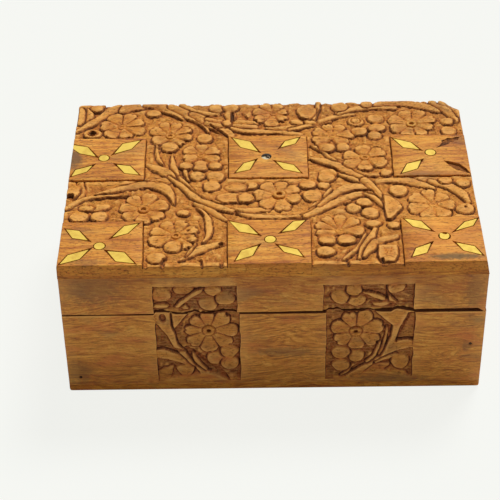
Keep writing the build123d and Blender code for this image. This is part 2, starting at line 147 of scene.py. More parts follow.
# %% Smooth lines
def smooth_line(points, steps=6):
    """A curve through given points. Each point is (u, v, half the width there)."""
    p = np.array(points, float)
    p = np.vstack([2 * p[0] - p[1], p, 2 * p[-1] - p[-2]])
    line = []
    for a, b, c, d in zip(p, p[1:], p[2:], p[3:]):
        for t in np.arange(steps) / steps:
            bend = (2 * a - 5 * b + 4 * c - d) * t**2 + (3 * b - 3 * c + d - a) * t**3
            line.append(0.5 * (2 * b + (c - a) * t + bend))
    return np.array(line + [p[-2]])


print("points on a line through three", len(smooth_line([(0, 0, 1), (5, 5, 2), (10, 0, 1)])))

# %% [markdown]
# ## The carved ground and the forms on it
#
# Relief carving works downwards. The carver sinks a ground, here 2.5 mm below the top of the lid,
# and leaves the flowers and vines standing on it near full height, with sloping walls and worn
# shoulders. A knife cut round each form parts it from whatever it crosses.
#
# A sculpted mesh could do this, or a height that is worked out at each point of a fine net. The
# height is the better way here: every petal and leaf becomes a few numbers, and forms can cross
# each other in any order. The price is that a wall has to be wider than a cell of the net, or its
# edge turns ragged. Each form is a distance, in mm, inside its outline.

# %% The relief: forms standing on a sunk ground
GROUND_LEVEL, GROUND_LIMIT = 0.3, 0.75
WALL_FOOT, WALL_SHOULDER = -0.28, 0.42
KNIFE_CUT, LEFT_IN_CUT = 0.9, 0.25
OUTLINE_WANDER = 0.22


class Relief:
    """The height in mm above the sunk ground, at every crossing of a net of lines on a face."""

    def __init__(self, u_lines, v_lines, u, v, depth):
        self.u_lines, self.v_lines, self.u, self.v, self.depth = u_lines, v_lines, u, v, depth
        self.height = np.zeros_like(u)
        self.rough_ground()

    def rough_ground(self):
        """Leave the ground as the gouge did, with soft lumps and short chips that lie both ways."""
        u, v = self.u, self.v
        lumps = 0.20 * unevenness(u, v, 4.2, 5) + 0.10 * unevenness(u, v, 1.9, 6)
        along = soft_step(-0.2, 0.4, unevenness(u * 0.4, v, 1.35, 7))
        across = soft_step(-0.2, 0.4, unevenness(u, v * 0.4, 1.35, 8))
        lie = soft_step(-0.2, 0.2, unevenness(u, v, 7.0, 9))
        chips = along * lie + across * (1 - lie)
        self.height += self.depth * np.clip(GROUND_LEVEL + lumps + 0.22 * chips, 0, GROUND_LIMIT)

    def area(self, spots, reach):
        """The part of the net that lies within reach of some spots, as a pair of slices."""
        spots = np.array(spots, float)[:, :2]
        low, high = spots.min(0) - reach - 3, spots.max(0) + reach + 3
        return (
            slice(*np.searchsorted(self.u_lines, (low[0], high[0]))),
            slice(*np.searchsorted(self.v_lines, (low[1], high[1]))),
        )

    def stand(self, area, inside, crown, shoulder=WALL_SHOULDER, keep=LEFT_IN_CUT):
        """Leave a form standing to its crown, a share of the depth, with a knife cut round it.
        keep is the share of the old height that the cut leaves."""
        u, v = self.u[area], self.v[area]
        inside = inside + OUTLINE_WANDER * unevenness(u, v, 2.6, 13)
        height = self.height[area] * (1 - (1 - keep) * soft_step(-KNIFE_CUT, -0.05, inside))
        rise = soft_step(WALL_FOOT, shoulder, inside)
        tilt = 1 - 0.06 * (1 + unevenness(u, v, 5.0, 11)) - 0.03 * (1 + unevenness(u, v, 1.6, 12))
        self.height[area] = height * (1 - rise) + self.depth * crown * tilt * rise

    def sink(self, area, inside, level, shoulder=0.4):
        """Cut a hole or a slot down to a level, as a share of the depth above the ground."""
        fall = soft_step(-0.1, shoulder, inside)
        lowered = np.minimum(self.height[area], self.depth * level)
        self.height[area] = self.height[area] * (1 - fall) + lowered * fall


def oval(relief, area, centre, long, short, turn):
    """How far inside an oval each point of an area lies. The turn is in degrees."""
    du, dv = relief.u[area] - centre[0], relief.v[area] - centre[1]
    c, s = math.cos(math.radians(turn)), math.sin(math.radians(turn))
    reach = np.hypot((du * c + dv * s) / long, (dv * c - du * s) / short)
    return (1 - reach) * min(long, short)


# %% [markdown]
# The vine has only a few kinds of form. A **bud** is a round or oval lobe with a pillowed top. A
# **leaf**, like a stem, is a stroke whose width changes along its line, and a **slab** has straight
# sides. A **flower** is five to eight broad petals round an eye, parted by notches. **Pits** and
# **nicks** are cut back into the wood.

# %% The kinds of form
def bud(relief, u, v, long, short=None, turn=0, crown=1.0):
    """A rounded lobe, pillowed on top and tipped a little its own way. Its back slopes down."""
    short = short or long
    area = relief.area([(u, v)], max(long, short))
    way = 37.0 * u + 91.0 * v
    inside = oval(relief, area, (u, v), long, short, turn) + 0.25
    bearing = np.arctan2(relief.v[area] - v, relief.u[area] - u)
    inside = inside + 0.03 * long * (np.sin(2 * bearing + way) + np.sin(3 * bearing + 2 * way))
    inside = inside + 0.06 * long * unevenness(relief.u[area], relief.v[area], 0.6 * long, 15)
    pillow = 1 - 0.2 * (1 - np.clip(inside / min(long, short), 0, 1)) ** 2
    tip = (relief.u[area] - u) * math.cos(way) + (relief.v[area] - v) * math.sin(way)
    back = soft_step(0.1, 1.0, (relief.v[area] - v) / long)
    top = crown * (pillow - 0.08 * np.clip(tip / long, -1, 1) - 0.12 * back)
    shoulder, keep = WALL_SHOULDER + 1.2 * back, LEFT_IN_CUT + 0.65 * back
    relief.stand(area, inside, top, shoulder, keep)


# %% Strokes and straight-sided forms
def stroke(relief, points, spread=1.0):
    """The area near a line of changing width: how far inside it each point lies, the half width
    there, and how far towards the front of the line the point is, from -1 to 1."""
    line = smooth_line(points) * (1, 1, spread)
    area = relief.area(line, line[:, 2].max())
    u, v = relief.u[area], relief.v[area]
    inside, width, ahead = np.full(u.shape, -FAR), np.ones(u.shape), np.zeros(u.shape)
    for (u0, v0, w0), (u1, v1, w1) in zip(line, line[1:]):
        du, dv = u1 - u0, v1 - v0
        t = np.clip(((u - u0) * du + (v - v0) * dv) / (du * du + dv * dv + TINY), 0, 1)
        w = np.maximum(w0 + (w1 - w0) * t, 0.15)
        d = w - np.hypot(u - u0 - du * t, v - v0 - dv * t)
        nearer = d > inside
        width = np.where(nearer, w, width)
        ahead = np.where(nearer, np.clip((v0 + dv * t - v) / w, -1, 1), ahead)
        inside = np.maximum(inside, d)
    return area, inside, width, ahead


RIDGE, FRONT_FALL = 0.12, 0.17


def leaf(relief, *points, crown=1.0, hollow=0.0):
    """A stroke that is highest along its middle, and lies lower on the side towards the front."""
    area, inside, width, ahead = stroke(relief, points, 1.25)
    inside = inside + 0.16 * width * unevenness(relief.u[area], relief.v[area], 3.4, 16)
    share = np.clip(inside / width, 0, 1)
    top = 1 - RIDGE * (1 - share) - hollow * share**3 - FRONT_FALL * (0.5 + 0.5 * ahead)
    relief.stand(area, inside, crown * top)


def slab(relief, *corners, crown=1.0, fall=(0.0, 0.0)):
    """A flat form with straight sides, such as the foot of a stem. It may fall away in u and v."""
    corners = np.array(corners, float)
    area = relief.area(corners, 0)
    u, v = relief.u[area], relief.v[area]
    near, within = np.full(u.shape, FAR), np.zeros(u.shape, bool)
    for a, b in zip(corners, np.roll(corners, -1, 0)):
        side = b - a
        t = np.clip(((u - a[0]) * side[0] + (v - a[1]) * side[1]) / (side @ side), 0, 1)
        near = np.minimum(near, np.hypot(u - a[0] - t * side[0], v - a[1] - t * side[1]))
        crosses = (a[1] > v) != (b[1] > v)
        rise = b[1] - a[1] if b[1] != a[1] else TINY
        within ^= crosses & (u < a[0] + (v - a[1]) * side[0] / rise)
    centre = corners.mean(0)
    slope = fall[0] * (u - centre[0]) + fall[1] * (v - centre[1])
    relief.stand(area, np.where(within, near, -near), crown - np.clip(slope, 0, 0.5))


# %% Flowers
WIDEST_PETAL = 0.54


def flower(relief, eye, tips, size, hole, seat=0.5):
    """Broad petals that overlap round an eye like a fan and part at their tips, and a seat for the
    eye, size mm in radius, with a drilled hole. hole and seat are levels above the ground. No petal
    is wider to either side than WIDEST_PETAL, an angle in radians."""
    tips = np.array(tips, float)
    angles = np.arctan2(tips[:, 1] - eye[1], tips[:, 0] - eye[0])
    order = np.argsort(angles)
    tips, angles = tips[order], angles[order]
    ahead = np.minimum(((np.roll(angles, -1) - angles) % (2 * math.pi)) / 2, WIDEST_PETAL)
    behind = np.roll(ahead, 1)
    lengths = np.hypot(*(tips - eye).T)
    area = relief.area(tips, 3)
    du, dv = relief.u[area] - eye[0], relief.v[area] - eye[1]
    distance, bearing = np.hypot(du, dv), np.arctan2(dv, du)
    off = (bearing[..., None] - angles + math.pi) % (2 * math.pi) - math.pi
    mine = np.argmin(abs(off), -1)
    off = np.take_along_axis(off, mine[..., None], -1)[..., 0]
    reach, half = lengths[mine], np.where(off > 0, ahead[mine], behind[mine])
    across = np.clip(off / half, -1.5, 1.5)
    outward = distance / reach
    kind = np.sin(3.7 * mine + eye[0])
    outline = reach * (1.02 - 0.2 * np.clip(abs(across), 0, 1) ** 2.5)
    outline = outline - np.where(kind > 0, 0.9, 0.3) * (1 - soft_step(0, 0.24, abs(across)))
    to_side = (1 - abs(across)) * half * distance
    inside = np.minimum(outline - distance, to_side + 0.5 - 0.85 * soft_step(0.55, 0.95, outward))
    inside = np.maximum(inside, size + 0.3 - distance)
    fan = 1 - 0.15 * soft_step(0.3, 0.6, outward) * (0.5 + 0.5 * across)
    tent = 1 - np.where(kind > 0.5, 0.16, 0.02) * abs(across) * outward
    parted = 1 - (0.2 + 0.34 * outward) * (1 - soft_step(0, 0.5, to_side))
    cupped = 0.82 + 0.16 * soft_step(size, 0.8 * lengths.mean(), distance) + 0.05 * kind
    worn_tip = 1 - 0.10 * (1 - np.clip((outline - distance) / 2.5, 0, 1)) ** 2
    relief.stand(area, inside, cupped * fan * tent * parted * worn_tip)
    relief.sink(area, size - distance, seat, 0.4)
    relief.sink(area, 0.42 * size - distance, hole, 0.3)


# %% Rings, pits and nicks
def ringed_bud(relief, u, v, radius):
    """A bud with a smaller bud cut inside it."""
    bud(relief, u, v, radius)
    area = relief.area([(u, v)], radius)
    inside = oval(relief, area, (u, v), radius * 0.6, radius * 0.6, 0)
    relief.sink(area, 0.45 - abs(inside), 0.55, 0.3)


def pit(relief, u, v, long, short=None, turn=0, level=0.0):
    """A drilled or gouged hole."""
    area = relief.area([(u, v)], long)
    relief.sink(area, oval(relief, area, (u, v), long, short or long, turn), level)


def nick(relief, *points, level=0.1):
    """A knife or gouge stroke, cut down through whatever stands there."""
    area, inside, _, _ = stroke(relief, points)
    relief.sink(area, inside, level, 0.35)


print("kinds of form", [kind.__name__ for kind in (bud, leaf, slab, flower, ringed_bud, pit, nick)])

# %% [markdown]
# ## The carving of the lid
#
# Long vines cross the lid from corner to corner. Flowers about 24 mm wide and small buds fill what
# is left, so that hardly any ground shows. The list runs in the order of carving, from the lowest
# forms to those that cross over them. Every number is a place on the lid, in mm from its middle.

# %% Vines and leaves of the lid
lid_carving = []


def carve(kind, *values, into=lid_carving, **options):
    """Note a form for a list of carving."""
    into.append((kind, values, options))


vine, cut = partial(carve, leaf), partial(carve, nick)

# Back left: a long leaf that arches over the first flower, and the small leaves round it.
vine((-99, 66, 2.2), (-95.5, 66.5, 2.6), (-90, 67.5, 2.4), crown=0.9)
vine((-100, 51, 1.2), (-98.5, 57, 1.9), (-99.8, 64.5, 1.2))
vine((-95.8, 50, 0.9), (-94.5, 57, 1.7), (-96, 64, 1))
vine((-101.5, 43.5, 0.9), (-95, 50, 1.6), (-88, 58, 2), (-81, 65.5, 2.4), (-74, 68, 2.2))
vine((-78.5, 62, 1.4), (-75, 65.5, 2.7), (-70, 66.5, 2.3), (-64, 67.5, 1.6))
# The three broad leaves that fan down to the right.
vine((-46, 67, 1.9), (-40.5, 61.5, 1.7), (-34, 59.5, 1.4), (-27.5, 58.6, 1.1))
vine((-66, 68, 1.6), (-58, 66.5, 3), (-50.5, 60.5, 3.1), (-45.2, 54.5, 1.3))
vine((-52, 66, 2), (-43, 58.5, 2.4), (-37, 51, 2.4), (-32.4, 42.5, 0.9))
vine((-41, 59, 1.6), (-33, 52, 2.6), (-26, 46, 3), (-20.2, 38.8, 1.6), hollow=0.1)
# The vine along the back of the middle panel, and the band over it.
vine((-33, 50.5, 1.3), (-25, 48, 1.7), (-16, 47.5, 1.9), (-8, 46, 1.4))
vine((-33, 54, 1.2), (-24, 51.5, 1.6), (-15, 51, 1.5), (-7, 50, 1), crown=0.85)
vine((-20, 45, 1), (-13, 42.6, 1.3), (0, 42, 1.5), (9, 40.8, 1.5), (16, 38.2, 1.2))
vine((-2, 44.8, 1), (7, 44.6, 1.5), (15, 45.6, 1.6), (23, 48.5, 1.6), (31, 51, 1.2))
vine((10, 43, 0.9), (19, 46.4, 1.2), (27, 51, 1.3), (36, 55.5, 1.2), (44, 56.5, 0.8))
# Leaves and bud stalks along the back edge.
vine((25.8, 68, 1.2), (24.8, 60, 1.4), (22.4, 50.4, 0.7))
cut((26.8, 62, 0.4), (26, 57, 1.1), (24.4, 52.6, 0.4))
vine((11.5, 51, 1), (14, 50.5, 2), (16.5, 48.8, 0.8))
vine((18, 52, 0.8), (20.5, 50.2, 1.7), (23.5, 49.5, 0.9))
vine((38, 66, 2.2), (37, 61, 1.8), (34.6, 57.5, 0.9))
vine((36, 57.2, 1), (45, 61.8, 1.5), (54, 63.2, 1.5), (66, 62.4, 1.3))
vine((50, 64, 0.9), (60, 66.3, 1.7), (72, 66.4, 2.2), (82, 63.5, 2.2), (89, 59, 1.2))
vine((86, 67, 1.6), (91.5, 63, 2.4), (95, 57, 2.4), (97.5, 49.5, 1.1))
vine((91, 67, 1.6), (96, 65, 2.4), (98.8, 60, 1.9), (99, 54, 0.8), crown=0.92)
# Between the back panels: twin stems on the left, a tendril and a thick vine on the right.
vine((-58.6, 31, 0.6), (-58.2, 24, 0.9), (-57, 18, 0.9), (-54.6, 13, 0.5))
vine((-50.4, 22, 0.5), (-49.8, 14, 1.3), (-47.8, 6, 1.3), (-45.8, -1, 0.9))
vine((-44.2, 15, 0.6), (-43.2, 7, 1), (-41.6, 0, 0.7))
vine((-62.6, 13.6, 1), (-57, 9.8, 2), (-51.6, 5.4, 2.2), (-48.4, 0.4, 1.2), (-46.6, -4, 0.8))
cut((-47, 20, 1.1), (-46.6, 14, 0.9), (-45, 7.6, 0.5), (-44.2, -1, 0.4))
vine((20.5, 28.5, 0.6), (25, 25.5, 0.9), (29, 19.5, 0.9), (34, 13, 1), (38.5, 7, 0.8))
vine((19.5, 17.5, 0.9), (27, 14.8, 1.7), (34.5, 9.6, 2.1), (41, 3.8, 1.9), (48.5, -2, 1.3))
vine((41, 9.5, 0.9), (45, 5, 1), (50, 3, 0.8), (58, 3.5, 0.7), crown=0.85)
# The middle band: a wide vine from the left edge, which the thick vine crosses on its way down.
vine((-95.5, -1.5, 1.6), (-94, -10, 1.5), (-97, -19, 0.9), crown=0.85)
vine((-101, -22.4, 1.2), (-95.6, -17, 1.3), (-90, -13.8, 1), (-81, -12.6, 0.9),
     (-71, -12.2, 0.5))
vine((-64, -2.8, 1.6), (-57, -1.4, 2.6), (-51.5, 0.4, 1.9), crown=0.9)
vine((-88, -11.6, 0.4), (-80, -8.2, 1.2), (-71, -5.2, 1.8), (-62, -3.6, 2.2), (-56, -4.8, 2.4),
     (-51.6, -8.8, 2.3), (-49.4, -13.4, 1.5), (-48.4, -19.4, 0.5))
cut((-60.4, -6.6, 0.5), (-56.8, -9.2, 1.5), (-53.2, -12.8, 1.6), (-50.2, -17.8, 0.6))
vine((-46, 2.5, 1), (-42.6, -3.8, 1.2), (-37.4, -12, 1.2), (-31, -17.6, 1.2),
     (-19, -18.4, 0.8))
vine((-38, -18.5, 0.9), (-34.4, -25.4, 1.1), (-31.4, -32, 1.3), (-30.6, -39, 1.5),
     (-31, -45, 1.3), (-33.2, -49.8, 0.6))
vine((-22, -24, 1.2), (-12, -25.2, 1.7), (-2, -24.4, 1.3), crown=0.9)
vine((-51.5, 3, 0.7), (-46.4, -2.8, 1.2), (-42.2, -8.8, 1.4), (-38.2, -14, 1.5),
     (-33.6, -18, 1.6), (-28, -21.4, 1.8), (-20, -25.6, 1.3), (-15, -27.6, 0.7))
vine((-18, -26.8, 0.3), (-10.4, -29.8, 1.2), (-2, -30.9, 1.3), (7, -31, 1.2), (15, -30.2, 0.9),
     (19, -28.8, 0.5))
cut((-12.6, -31.6, 0.3), (-6.4, -32.8, 0.5), (5, -33, 0.5), (14, -32.4, 0.3))
vine((-38, -19, 0.9), (-29, -26, 1.3), (-22.5, -32.5, 0.9), crown=0.9)
# Right half of the middle band.
vine((19, -24, 1), (25, -16.5, 1.4), (29, -8.5, 0.8))
vine((15, -29, 1), (21.5, -24.8, 1.4), (30, -20.8, 1.6), (38, -19, 0.9))
vine((16, -30.5, 1.1), (27, -22.5, 1.6), (36, -16.4, 1.7), (43.5, -13, 1.6), (50, -12.4, 1))
vine((23, -22, 1), (29.4, -14.6, 1.4), (36.5, -8.4, 2.2), (45, -7, 2), (49.5, -8.4, 1))
vine((33.5, 3.4, 0.9), (41, -0.6, 1.3), (47.5, -4.5, 1))
vine((46, -1.5, 1.8), (50.5, -8, 1.7), (53.6, -15, 1.3), (55, -24, 0.9))
vine((46, -12.8, 0.8), (50.6, -16.4, 1.2), (54.2, -23, 0.7), crown=0.92)
carve(slab, (54.6, -14), (58, -14.6), (62, -19), (63.8, -24.4), (57.6, -34), (55, -34), (54.6, -25),
      fall=(0.03, 0.03))
cut((47.6, -4, 0.25), (50.8, -10, 0.35), (52.8, -15, 0.25), level=0.6)
vine((53, -2.6, 1.3), (61, -2, 1.8), (69, -3.2, 2), (75, -6.2, 1.7), (80, -9.2, 0.9))
vine((79, -3.4, 1.3), (87, -7.2, 1.9), (93.2, -13, 2), (96.4, -20.5, 1))
# Front columns.
vine((-24.6, -51.2, 1.2), (-31, -53.2, 1.9), (-37.6, -57.4, 1.7), (-44, -63.6, 0.5))
vine((-36.8, -50, 0.5), (-39, -55.6, 0.8), (-41.4, -60.4, 0.4))
vine((44.4, -43, 0.8), (41.6, -51, 1.4), (37, -58, 1.4), (33, -64, 0.8))
vine((49.5, -39, 0.8), (46.8, -48, 1.7), (42.8, -56, 1.6), (40.5, -63, 0.9))
vine((59, -47, 1.2), (51.5, -50, 2), (46, -55.5, 1.8), (42.5, -62, 0.8))
print("vines and leaves", len(lid_carving))

# %% Flowers of the lid
lid_flowers = [
    ((-77.5, 47.5), [(-72, 59.4), (-82.4, 59.4), (-66.4, 53), (-89, 49), (-85, 39), (-73.5, 37.4),
                     (-65.6, 42.6)]),
    ((-52, 38.8), [(-61.5, 46), (-56, 51), (-48.5, 50.8), (-41.6, 45.5), (-40.6, 37.5), (-45, 31),
                   (-61, 33.6)]),
    ((1.8, 58.6), [(-9, 61), (-7.6, 52), (0.4, 46.2), (8, 52), (9.4, 60), (4.6, 67.4), (-4, 67.2)]),
    ((32, 37.4), [(22.4, 42.5), (29, 47.4), (37.4, 46.8), (43.6, 39.4), (39, 30), (22.2, 31.2)]),
    ((73.7, 47), [(70.6, 59.6), (79.6, 59.6), (86.4, 52.6), (85, 43.4), (79.8, 36.8), (70.6, 34.8),
                  (62.8, 42), (62.2, 52.8)]),
    ((-35.8, 21.6), [(-35.8, 31), (-43.8, 28), (-44.6, 17.6), (-26.6, 16.6), (-26.4, 26.4)]),
    ((47.6, 17.6), [(36.6, 19.8), (37.4, 10.4), (46.8, 6.4), (58.2, 12), (57.4, 24.4), (47, 28.6)]),
    ((-62.9, -23.9), [(-69.5, -13), (-60.2, -10.6), (-51.2, -18.6), (-54, -31.4), (-62.2, -35.2),
                      (-72.6, -30.2), (-74.8, -22.2)]),
    ((3.6, -13.2), [(-4.4, -3.6), (5, -2), (13, -6.6), (14, -16.4), (5, -26), (-4.6, -23),
                    (-9.6, -12.6)]),
    ((78.6, -22.5), [(68.4, -14.4), (76, -10.4), (85, -13.4), (89.8, -22.6), (84.6, -32.6), (74, -34),
                     (66.6, -26.8)]),
    ((-46.4, -44.6), [(-58.8, -40.4), (-59.4, -48.6), (-52.4, -34), (-43.6, -32.6), (-36.4, -38.8),
                      (-36.4, -47.4), (-40, -54)]),
    ((31.8, -42), [(20.8, -36.4), (24.4, -31.6), (32.6, -30), (40.8, -33), (43.8, -41.6), (21, -45.6)]),
]
EYE_SEAT = 3.3
EYE_SIZES = [0.8, 0.9, 0.75, 0.7, 1.05, 0.75, 0.9, 1.05, 1.25, 0.7, 0.9, 0.7]
for (eye, tips), size in zip(lid_flowers, EYE_SIZES):
    carve(flower, eye, tips, size=EYE_SEAT * size, hole=0.45 if size > 0.8 else 0.6)
print("flowers", len(lid_flowers))

# %% Buds, pits and nicks of the lid
for place in [
    (-52, 29.2, 4.3), (-35.6, 12.6, 4.5), (-43, 12.6, 3.4), (-28.4, 12.4, 3.4), (-28, 3, 4.4),
    (-37.2, 4, 3.8), (-61.4, 60.4, 3.8), (-28, 64.2, 4.1), (-20.6, 64.4, 4.1), (-34, 36.8, 4),
    (-91.5, 65.4, 3.4), (36.8, 64.2, 4.4), (51.5, 66.4, 3.3), (46, 41.4, 4.1), (55.4, 52.6, 4.4),
    (55.4, 44.4, 4.3), (37, 27.4, 3.6), (28.8, 27.2, 4), (54, 37.4, 3.6), (92.4, 49.6, 3.3),
    (28.5, 3.8, 4.7), (57.4, 4.6, 2.8), (-94, -28.6, 4.6), (-84.2, -28.4, 4.2), (-30, -4.6, 4.4),
    (-10.4, -4.8, 3.6), (18, -4.6, 3.9), (20, -13.6, 4.9), (26, -5.4, 3), (27.6, 1.4, 4.2),
    (39.6, -24, 3.6), (47.6, -28, 4.2), (45.2, -19.4, 3.8), (62.6, -10.2, 4.6), (86.4, -2.6, 3.4),
    (95.2, -4.8, 3.6), (-43.2, -26.6, 3), (-47.6, -52.4, 4.2), (-55.2, -61, 4.5), (26, -48.6, 4.1),
    (35, -48.6, 4.2), (24.6, -57.6, 4.4, 3.8), (58.2, -38, 3),
]:
    carve(bud, *place)
for place in [(-20.6, -14.6, 6.4, 4.4, 0, 0.92), (-12.8, -14.8, 3.9, 4.5, 0),
              (-17.6, -6, 5, 3.4, 0, 0.78), (-84.4, -21.4, 4.6, 3, 20, 0.88),
              (-91, -21.6, 3.4, 2.6, 0, 0.84), (19.4, 60.4, 5, 6.8, 0), (-98.6, -7.6, 3.4, 6.2, 0),
              (48.4, -36.8, 3.6, 2.6, 0), (92.4, 40.8, 3.9, 4.7, 0), (-21, 57.6, 3, 5.4, 10),
              (-22.5, 50.6, 2.4, 3.4, 0)]:
    carve(bud, *place)
carve(bud, 94, -25.8, 4.4)
carve(slab, (49.6, -53.6), (59, -53.8), (58.8, -61), (57, -66.4), (50.2, -66.4), (48.9, -61),
      fall=(0.01, -0.01))
cut((52, -55.4, 0.2), (53.6, -60.4, 0.25), level=0.6)
cut((56, -55.8, 0.2), (55.2, -59.6, 0.25), level=0.6)
for u, v, radius in [(-92.4, 42, 4.6), (44.8, 50.4, 4.2)]:
    carve(ringed_bud, u, v, radius)
for place in [(-92.4, 42, 2.1), (-99.6, -12.4, 1.9), (-40.6, -40.8, 1, 0.8, 30, 0.3),
              (-40.8, -46.2, 1, 0.8, 0, 0.3), (-41.6, -34.6, 0.9, 0.7, 0, 0.3), (-36.4, -45, 1.1),
              (-24.8, -51.6, 1.3, 0.8, 20), (-89.6, -19.6, 1), (32.6, -55.4, 1.1),
              (94.2, -25, 0.8, 0.8, 0, 0.4), (9.4, -22.6, 1, 0.7, 40, 0.2),
              (40.4, -19.6, 0.8, 1.3, -20, 0.1)]:
    carve(pit, *place)
# Gouge cuts that leave the dark undersides of leaves.
for points in [
    [(-56.5, 60.6, 0.6), (-51.5, 57, 1.2), (-46.4, 53, 0.7)],
    [(-45.4, 55.2, 0.4), (-40.4, 51.2, 1.2), (-36, 46, 1.2), (-33.2, 42, 0.5)],
    [(-31.5, 49, 0.4), (-27.5, 44.2, 0.9), (-22.4, 38.4, 0.5)],
    [(-43.4, -22.8, 0.5), (-40, -23.6, 1.3), (-36.2, -25.8, 1.2), (-33.4, -29.6, 0.5)],
    [(-35.8, -32.4, 0.3), (-34.8, -37.4, 0.6), (-33.4, -43, 0.6), (-33, -46, 0.3)],
    [(-14.8, 60, 0.5), (-13.6, 55.8, 1.4), (-11.4, 54, 0.7)],
    [(-19.8, 60, 0.7), (-19.9, 54, 0.9), (-20.4, 50.4, 0.5)],
    [(19.8, 16, 0.5), (25, 12.2, 1.3), (29.4, 9.8, 1.2), (33.6, 7.4, 0.5)],
    [(33, -62, 0.4), (38.2, -54.6, 0.9), (42.4, -46.6, 0.5)],
    [(14, 56.4, 0.5), (16.6, 53.2, 1), (21, 51.4, 0.6)],
    [(47.4, -15.6, 0.4), (49.6, -19.6, 0.9), (53, -25, 0.6)],
    [(58.6, 16.6, 0.9), (60, 15.6, 0.7)],
]:
    cut(*points)
for k in range(7):
    u = -33.6 + 1.45 * k
    cut((u, -56.6 + 0.3 * k, 0.18), (u + 1, -60.4 + 0.3 * k, 0.18), level=0.2)
cut((-35.6, -62.6, 0.6), (-34, -64, 0.7), (-33.2, -70, 0.7))
cut((-24.2, -62, 0.6), (-24.4, -66, 0.9), (-24, -70, 1.2))
cut((-60.4, -64, 0.8), (-59.4, -70, 0.9), level=0.2)
cut((-51.4, -62.5, 0.8), (-52, -66, 0.9), (-52, -70, 1.2))
cut((34.6, -64, 0.7), (35.4, -70, 0.9))
cut((51, -64, 0.6), (51.6, -70, 0.8), level=0.2)
print("forms on the lid", len(lid_carving))

# %% [markdown]
# ## A net of lines for each face
#
# A face of a board is a net of lines, fine where it is carved and coarse where it is plain. Three
# lines lie close together at the edge of every panel and carved field, which gives it a steep wall.
# A few lines close together at the board's own edges give those a worn, rounded arris.

# %% Nets
FINE, COARSE = 0.485, 3.0
ARRIS = (0.0, 0.1, 0.25, 0.45, 0.75)
NEAREST, WALL_STEP = 0.04, 0.14


def net_lines(start, end, fine_spans, step=FINE):
    """Lines from start to end: fine over the spans, coarse elsewhere, and close at both ends."""
    marks = {start + d for d in ARRIS} | {end - d for d in ARRIS}
    for low, high in fine_spans:
        low, high = max(low, start), min(high, end)
        count = max(int(round((high - low) / step)), 1)
        marks |= set(np.linspace(low, high, count + 1))
    spaced = np.array(sorted(marks))
    keep = [spaced[0]]
    for mark in spaced[1:]:
        gap = mark - keep[-1]
        if gap > COARSE * 1.5:
            keep += list(np.linspace(keep[-1], mark, int(round(gap / COARSE)) + 1))[1:-1]
        if gap > NEAREST:
            keep.append(mark)
    keep[-1] = end
    return np.array(keep)


def worn_arris(distance, radius, along):
    """How far the wood has gone back at a distance from an edge, more in some places than others."""
    r = radius * (1 + 0.35 * along)
    return r - np.sqrt(np.clip(r * r - np.clip(r - distance, 0, None) ** 2, 0, None))


# %% [markdown]
# The lid's net leaves out six squares, where the plain panels stand. The panels were marked out by
# hand and no two are quite alike, so the corners of each square are moved by their own amounts and
# the net follows them, softly, for a few millimetres round about.

# %% The net of the lid
PANEL_LENGTH, PANEL_WIDTH = 39.6, 35.2
PANEL_COLUMNS = [(left, left + PANEL_LENGTH), (-21.5, 18.1), (lid_right - PANEL_LENGTH, lid_right)]
PANEL_ROWS = [(front, front + PANEL_WIDTH), (1.0, 36.2)]
GROUND_DEPTH = 2.5
LEAN_RIGHT, LEAN_FRONT = 1.2, 0.8
# How far the corners of each panel lie from the square: (u, v) for near left, near right, far
# left and far right. Panels in order of columns, near row first.
PANEL_SHIFTS = [
    ((0, 0), (0.5, 0), (0, -0.9), (-0.6, -0.6)),
    ((0, -0.9), (-1.9, -1.0), (0, 0.1), (-2.4, -0.2)),
    ((0.2, 0), (-0.4, 0), (-0.3, -0.5), (0.1, -0.9)),
    ((0.3, -0.3), (0.2, -0.5), (-0.2, 0.5), (0.4, 0.9)),
    ((-0.2, 0), (0, 0), (0.4, -0.3), (0, 0.2)),
    ((-0.4, -0.2), (0, -0.4), (0.3, 0.2), (0, -0.6)),
]
lid_u_lines = net_lines(left, lid_right - LEAN_RIGHT, [(left, lid_right)])
lid_v_lines = net_lines(front + LEAN_FRONT, back, [(front, back)])


def beside(edges):
    """Three lines at each edge: on it, and close by on either side."""
    return sorted({x + d for x in edges for d in (-WALL_STEP, 0, WALL_STEP)})


def add_lines(lines, wanted):
    """Put wanted lines into a net in place of the ones that lie very near them."""
    lines = [x for x in lines if min(abs(x - w) for w in wanted) > 0.05]
    return np.array(sorted(lines + list(wanted)))


panel_spans = []
for low_u, high_u in PANEL_COLUMNS:
    for low_v, high_v in PANEL_ROWS:
        panel_spans.append((max(low_u, lid_u_lines[0]), min(high_u, lid_u_lines[-1]),
                            max(low_v, lid_v_lines[0]), min(high_v, lid_v_lines[-1])))
inner_u = [x for a, b, _, _ in panel_spans for x in (a, b) if lid_u_lines[0] < x < lid_u_lines[-1]]
inner_v = [y for _, _, a, b in panel_spans for y in (a, b) if lid_v_lines[0] < y < lid_v_lines[-1]]
lid_u_lines = add_lines(lid_u_lines, beside(inner_u))
lid_v_lines = add_lines(lid_v_lines, beside(inner_v))
print("lid net", len(lid_u_lines), "by", len(lid_v_lines))

# %% Hand-cut panels pull the net with them
REACH, CALM_EDGE = 7.0, 2.5


def distance_to_span(u, v, span):
    """How far points lie outside a rectangle."""
    du = np.maximum(np.maximum(span[0] - u, u - span[1]), 0)
    dv = np.maximum(np.maximum(span[2] - v, v - span[3]), 0)
    return np.hypot(du, dv)


